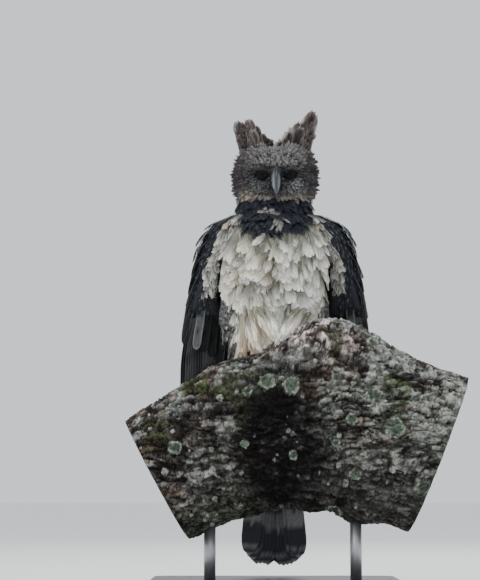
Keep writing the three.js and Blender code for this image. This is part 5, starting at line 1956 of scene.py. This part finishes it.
def bark_colour(points, smooth, turn, f, g, big, small):
    """Grey plates with dark cracks, under crust, moss and round lichens."""
    x, z = smooth[..., 0], smooth[..., 2]
    tone, crumbs = BARK_TONES, g.crumbs
    bare = np.clip(1.3 * bell(x, 75, 90) * ease(z, 440, 520), 0, 1)
    right = ease(x, 60, 130) * ease(-z, -430, -330)
    under = ease(-np.cos(turn), 0.35, 0.8)
    c = layered(
        paint(x.shape, tone["deep"]),
        (tone["plate"], ease(f.plates, 0.44, 0.62)),
        (tone["brown"], 0.6 * ease(f.tone, 0.5, 0.65)),
        (tone["bare"], 0.9 * bare * ease(crumbs, 0.46, 0.53)),
        (tone["crust"], 0.9 * g.crust * mix(0.55, 1.1, ease(fractal(points, 4.5, 2, 117), 0.35, 0.65))),
        (tone["right"], 0.6 * right * ease(crumbs, 0.4, 0.6)),
        # The underside darker: greenish grey on the left, and near black painted shade on the right.
        (tone["under_left"], 0.75 * under * (x < 20)),
        (tone["shaded_underside_right"], 0.7 * under * ease(x, 0, 80)),
        (tone["moss"], 0.85 * g.moss),
        # Painted shadow under the bird, near black.
        (tone["stain_and_painted_shadow"], 0.96 * g.stain_and_painted_shadow * (0.7 + 0.3 * ease(crumbs, 0.7, 0.5))),
    )
    c = c * mix(0.45, 1.5, ease(fractal(points * np.array([0.5, 1, 1]), 8, 3, 115), 0.35, 0.65))[..., None]
    # Near black in the cracks, partly their own dark and partly painted shade, and painted shade in the
    # hollows between the folds of the knots under the bird.
    dark = np.maximum(f.splits, 0.85 * f.hairs)
    dark = np.maximum(dark, 0.9 * f.knots * (1 - ease(f.folds, 0.0, 0.2)))
    c = layered(
        c,
        (tone["crack_and_painted_shade"], 0.96 * dark * (1 - 0.45 * g.crust)),
        # Specks are fainter within the painted shadow.
        (tone["speck"], 0.9 * (small < 1) * ease(f.fine, -0.3, 0.1) * (1 - 0.5 * g.stain_and_painted_shadow)),
    )
    leafy = layered(paint(x.shape, tone["lichen"]),
                    (tone["lichen_rim"], ease(big, 0.5, 0.95) * ease(crumbs, 0.4, 0.55)))
    leafy = leafy * mix(0.55, 1.3, ease(fractal(points, 5, 2, 116), 0.3, 0.7))[..., None]
    return np.where((big < 1)[..., None], leafy, c)


BARK_ROWS, BARK_COLUMNS = 400, 400


def branch():
    """The bark: cracked plates under lichens and moss, on the source's own outline, and its two sawn ends."""
    t = np.linspace(0, 1, BARK_ROWS)[:, None] * np.ones(BARK_COLUMNS)
    turn = np.ones(BARK_ROWS)[:, None] * np.linspace(0, 2 * np.pi, BARK_COLUMNS, endpoint=False)
    smooth = branch_point(t, turn)
    fields = bark_fields(smooth)
    points = branch_point(t, turn, bark_relief(fields, smooth[..., 0], turn))
    big, small = lichen_fields(points, smooth)
    growth = growth_fields(points, smooth, turn, fields)
    tint = bark_colour(points, smooth, turn, fields, growth, big, small)
    lift = (2.2 * (big < 1) * (0.6 + 0.6 * ease(big, 0.5, 0.95)) + 1.2 * (small < 1) + 0.8 * growth.crust
            + 2.0 * growth.moss * fields.fine)
    points = points + unit(points - branch_at(t)[0]) * lift[..., None]
    faces = grid_faces(BARK_ROWS, BARK_COLUMNS, closed=True)
    obj = build_mesh("branch_bark", points.reshape(-1, 3), faces, bark_look, tint.reshape(-1, 3))
    place(obj, "bark", "perch")
    branch_cut("low", points[0], -branch_at(np.array(0.0))[1], False)
    branch_cut("high", points[-1], branch_at(np.array(1.0))[1], True)


# Cracks in a sawn end: the angle from the middle and how far out each one ends
CHECKS = ((0.4, 90), (1.7, 60), (2.9, 100), (-1.2, 80), (-2.3, 55))


def branch_cut(name, loop, outward, flip):
    """A sawn end, with growth rings, a darker heart, cracks from the middle and a rim of bark."""
    middle = loop.mean(0)
    shares = np.concatenate([np.linspace(1, 0.1, 70), [0.004]])
    disc = middle + (loop - middle)[None] * shares[:, None, None]
    rel = disc - middle
    wobble = fractal(disc, 60, 2, 121) * 26
    radius = np.linalg.norm(rel, axis=-1)
    rings = 0.5 + 0.5 * np.sin((radius + wobble) * 0.95)
    angle = np.arctan2(rel[..., 2], rel[..., 1]) + 0.012 * wobble
    cracks = 0
    for at, reach in CHECKS:
        within = ease(radius, 8, 26) * (1 - ease(radius, reach, reach + 22))
        cracks = cracks + bell(np.angle(np.exp(1j * (angle - at))), 0, 0.02) * within
    cracks = np.clip(cracks, 0, 1)
    saw = fractal(disc * np.array([1, 1, 6]), 9, 2, 122)
    wood = layered(paint(rings.shape, (0.33, 0.22, 0.125)), ((0.155, 0.09, 0.048), rings * 0.75),
                   ((0.11, 0.06, 0.035), 0.75 * (1 - ease(radius + wobble * 0.4, 34, 62))))
    rim = ease(shares, 0.91, 0.94)[:, None] * np.ones(len(loop))
    wood = layered(wood * (0.85 + 0.3 * saw[..., None]), ((0.012, 0.009, 0.008), cracks * 0.9),
                   ((0.045, 0.036, 0.030), rim))
    level = saw * 0.9 - 2.2 * cracks - 1.2 * bell(shares, 0.925, 0.012)[:, None]
    disc = disc + level[..., None] * outward * (1 - ease(shares, 0.985, 1.0))[:, None, None]
    faces = grid_faces(len(shares), len(loop), closed=True)
    faces = faces[:, ::-1] if flip else faces
    obj = build_mesh(f"branch_cut_{name}", disc.reshape(-1, 3), faces, wood_look, wood.reshape(-1, 3))
    place(obj, "bark")


branch()


# Feet

FOOT_X, FOOT_TURN = 52, math.radians(31)
TOES = {
    "inner": {"turn": -22, "length": 52, "radius": 11, "claw": 38},
    "middle": {"turn": 4, "length": 70, "radius": 10.5, "claw": 32},
    "outer": {"turn": 44, "length": 52, "radius": 10, "claw": 28},
    "hind": {"turn": 176, "length": 44, "radius": 12, "claw": 50},
}


def on_bark(x, turn, across, back, height):
    """A place on the bark, that far across and back from the branch's point at this x and turn."""
    first, last = BRANCH[0][0], BRANCH[-1][0]
    t = (x - first) / (last - first)
    for _ in range(12):
        t += (x - branch_point(np.array(t), np.array(turn))[0]) / (last - first)
    radius = float(bark_radius(np.array(t), np.array(turn)))
    return branch_point(np.array(t + across / BRANCH_LENGTH), np.array(turn + back / radius), height)


def over_bark(side, toe, distance, height):
    a = math.radians(toe["turn"])
    return on_bark(side * FOOT_X, FOOT_TURN, side * math.sin(a) * distance, -math.cos(a) * distance, height)


# Share of a toe's length, height over its own radius, size
TOE_STATIONS = ((0, 3, 1.15), (0.3, 2, 0.98), (0.55, 0, 1.06), (0.78, -0.5, 0.9), (1, -1.5, 0.8))
YELLOW, YELLOW_DARK = (0.62, 0.43, 0.10), (0.30, 0.19, 0.05)
TUBE_SECTORS = 28


def scaled_tube(stations, rings, scutes, depth):
    """A yellow tube ridged by so many broad scales: its points, faces and tint."""
    loops = limb(stations, rings, TUBE_SECTORS)
    ridge = 0.5 + 0.5 * np.cos(2 * np.pi * scutes * np.linspace(0, 1, rings)[:, None])
    centre = loops.mean(1, keepdims=True)
    points, faces = capped(centre + (loops - centre) * (1 - depth * ridge[..., None]))
    shade = np.concatenate([ridge[:1], ridge, ridge[-1:]]) * np.ones(TUBE_SECTORS)
    return points, faces, blend_to(paint(shade.shape, YELLOW), YELLOW_DARK, shade * 0.8).reshape(-1, 3)


def toes(name, side):
    """The four toes of one foot, laid over the bark."""
    tubes = []
    for toe in TOES.values():
        r = toe["radius"]
        stations = []
        for share, height, size in TOE_STATIONS:
            p = over_bark(side, toe, share * toe["length"], r + height)
            stations.append((*p, r * size, r * size * 0.92))
        tubes.append(scaled_tube(stations, 60, 9, 0.06))
    points, faces = joined([(points, faces) for points, faces, _ in tubes])
    tint = np.concatenate([tint for _, _, tint in tubes])
    place(build_mesh(f"toes_{name}", points, faces, scale_look, tint), "scaled_skin", f"foot_{name}")


def shank(name, side):
    """The bare lower leg, from inside the thigh's feathers to the foot."""
    ankle = over_bark(side, TOES["middle"], 0, 14)
    knee = np.array([side * 64, 92, 566])
    middle = (ankle + knee) / 2
    stations = [(*knee, 12.5, 12.5), (*middle, 12, 12), (*ankle, 14, 15)]
    points, faces, tint = scaled_tube(stations, 48, 8, 0.05)
    place(build_mesh(f"shank_skin_{name}", points, faces, scale_look, tint), "scaled_skin", f"shank_{name}")


def talons(name, side):
    """Curved black claws that close on the bark, one for each toe."""
    for toe_name, toe in TOES.items():
        r, claw = toe["radius"], toe["claw"]
        start = over_bark(side, toe, toe["length"] - 3, r)
        end = over_bark(side, toe, toe["length"] + claw * 0.72, 0.8)
        top = start * 0.55 + end * 0.45 + np.array([0, 0, claw * 0.3])
        bend = mix(top, end, np.array([0.62, 0.62, 0.5]))
        points, faces = capped(limb([(*start, r * 0.62, r * 0.66), (*top, r * 0.46, r * 0.5),
                                     (*bend, r * 0.27, r * 0.3), (*end, 0.6, 0.6)], 40, 24))
        tint = paint(points.shape[:1], (0.012, 0.012, 0.014))
        obj = build_mesh(f"talon_{name}_{toe_name}", points, faces, horn_look, tint)
        place(obj, "horn", f"claw_{name}_{toe_name}")


def feet():
    for name, side in SIDES.items():
        toes(name, side)
        shank(name, side)
        talons(name, side)


feet()


# The stand

BASE_WIDE, BASE_DEEP, BASE_CORNER = 520, 380, 30
# Height and inset of each loop of the base, up its side and over its rounded top edge
BASE_LOOPS = ((0, 1.2), (1.2, 0), (19, 0), (20.2, 0.4), (21.2, 1.3), (22, 3), (22, 9))
ROD_RADIUS, ROD_SECTORS = 12, 48


def lacquer():
    """Black satin lacquer, with a little unevenness in its gloss."""
    made, nodes, links, shader = material("satin_lacquer", 0.42, Coat_Weight=0.25, Coat_Roughness=0.25)
    shader.inputs["Base Color"].default_value = (0.02, 0.02, 0.021, 1)
    dust = object_noise(nodes, links, 60, 6.0)
    links.new(ranged(nodes, links, dust, 0.36, 0.55), shader.inputs["Roughness"])
    return made


def steel():
    """Steel brushed round the rods."""
    made, nodes, links, shader = material("brushed_steel", 0.5, Metallic=1.0)
    shader.inputs["Base Color"].default_value = (0.45, 0.46, 0.48, 1)
    relief(nodes, links, shader, object_noise(nodes, links, 45, 3.0, (1, 1, 60)), 0.15, 0.0003)
    return made


def base_outline():
    """A rectangle with rounded corners, as points in a plane."""
    outline = []
    for quarter, (right, far) in enumerate(((1, 1), (-1, 1), (-1, -1), (1, -1))):
        for a in np.linspace(0, math.pi / 2, 13) + quarter * math.pi / 2:
            outline.append((right * (BASE_WIDE / 2 - BASE_CORNER) + BASE_CORNER * math.cos(a),
                            far * (BASE_DEEP / 2 - BASE_CORNER) + BASE_CORNER * math.sin(a)))
    return np.array(outline)


def stand():
    """A lacquered base and two round steel rods."""
    outline = base_outline()
    loops = []
    for z, inset in BASE_LOOPS:
        scale = np.array([1 - 2 * inset / BASE_WIDE, 1 - 2 * inset / BASE_DEEP])
        loops.append(np.concatenate([outline * scale, np.full((len(outline), 1), z)], 1))
    points, faces = capped(loops)
    place(build_mesh("stand_base_plate", points, faces, lacquer(), smooth=False), "base", "stand_base")
    rod_look = steel()
    for i in (1, 2):
        low, high = (np.array(corner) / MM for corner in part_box(f"stand_rod_{i}"))
        middle = (low + high) / 2
        a = np.linspace(0, 2 * np.pi, ROD_SECTORS, endpoint=False)
        ring = np.stack([middle[0] + ROD_RADIUS * np.cos(a), middle[1] + ROD_RADIUS * np.sin(a)], -1)
        levels = [np.concatenate([ring, np.full((ROD_SECTORS, 1), z)], 1) for z in (low[2], high[2])]
        points, faces = capped(levels)
        place(build_mesh(f"stand_rod_round_{i}", points, faces, rod_look), "steel", f"stand_rod_{i}")


stand()


# Floor, light and camera

FLOOR_REACH = 30000
LIGHTS = [
    # name, place in metres, size, power, colour
    ("overhead", (-0.3, -0.7, 3.0), 2.2, 62, (1.0, 0.99, 0.97)),
    ("key", (-1.7, -2.2, 2.0), 0.45, 16, (1.0, 0.98, 0.95)),
    ("rim", (0.8, 2.2, 2.2), 1.6, 26, (0.97, 0.98, 1.0)),
]
LIGHTS_AIM = (0, 0, 0.6)
CAMERA_PLACE, CAMERA_AIM, CAMERA_LENS = (-0.073, -3.5, 0.2), (-0.073, 0.0, 0.624), 104


def aimed(name, data, where, target):
    """A lamp or camera at a place in metres, turned towards another."""
    obj = bpy.data.objects.new(name, data)
    obj.location = where
    obj.rotation_euler = (Vector(target) - Vector(where)).to_track_quat("-Z", "Y").to_euler()
    bpy.context.scene.collection.objects.link(obj)
    return obj


def floor():
    """A plain pale floor, far wider than the stand."""
    made, _, _, shader = material("pale_floor", 0.6)
    shader.inputs["Base Color"].default_value = (0.88, 0.88, 0.87, 1)
    corners = [(x * FLOOR_REACH, y * FLOOR_REACH, 0) for x, y in ((-1, -1), (1, -1), (1, 1), (-1, 1))]
    build_mesh("floor", corners, [(0, 1, 2, 3)], made)


def lights():
    """A pale sky and three round area lamps."""
    world = bpy.data.worlds.new("studio")
    world.use_nodes = True
    background = world.node_tree.nodes["Background"]
    background.inputs["Color"].default_value = (0.93, 0.96, 1.0, 1)
    background.inputs["Strength"].default_value = 1.0
    bpy.context.scene.world = world
    for name, where, size, power, colour in LIGHTS:
        lamp = bpy.data.lights.new(name, "AREA")
        lamp.shape = "DISK"
        lamp.size = size
        lamp.energy = power
        lamp.color = colour
        aimed(name, lamp, where, LIGHTS_AIM)


def camera():
    made = bpy.data.cameras.new("photo_view")
    made.sensor_fit = "VERTICAL"
    made.sensor_height = 36
    made.lens = CAMERA_LENS
    made.clip_end = 50
    bpy.context.scene.camera = aimed("photo_view", made, CAMERA_PLACE, CAMERA_AIM)


floor()
lights()
camera()
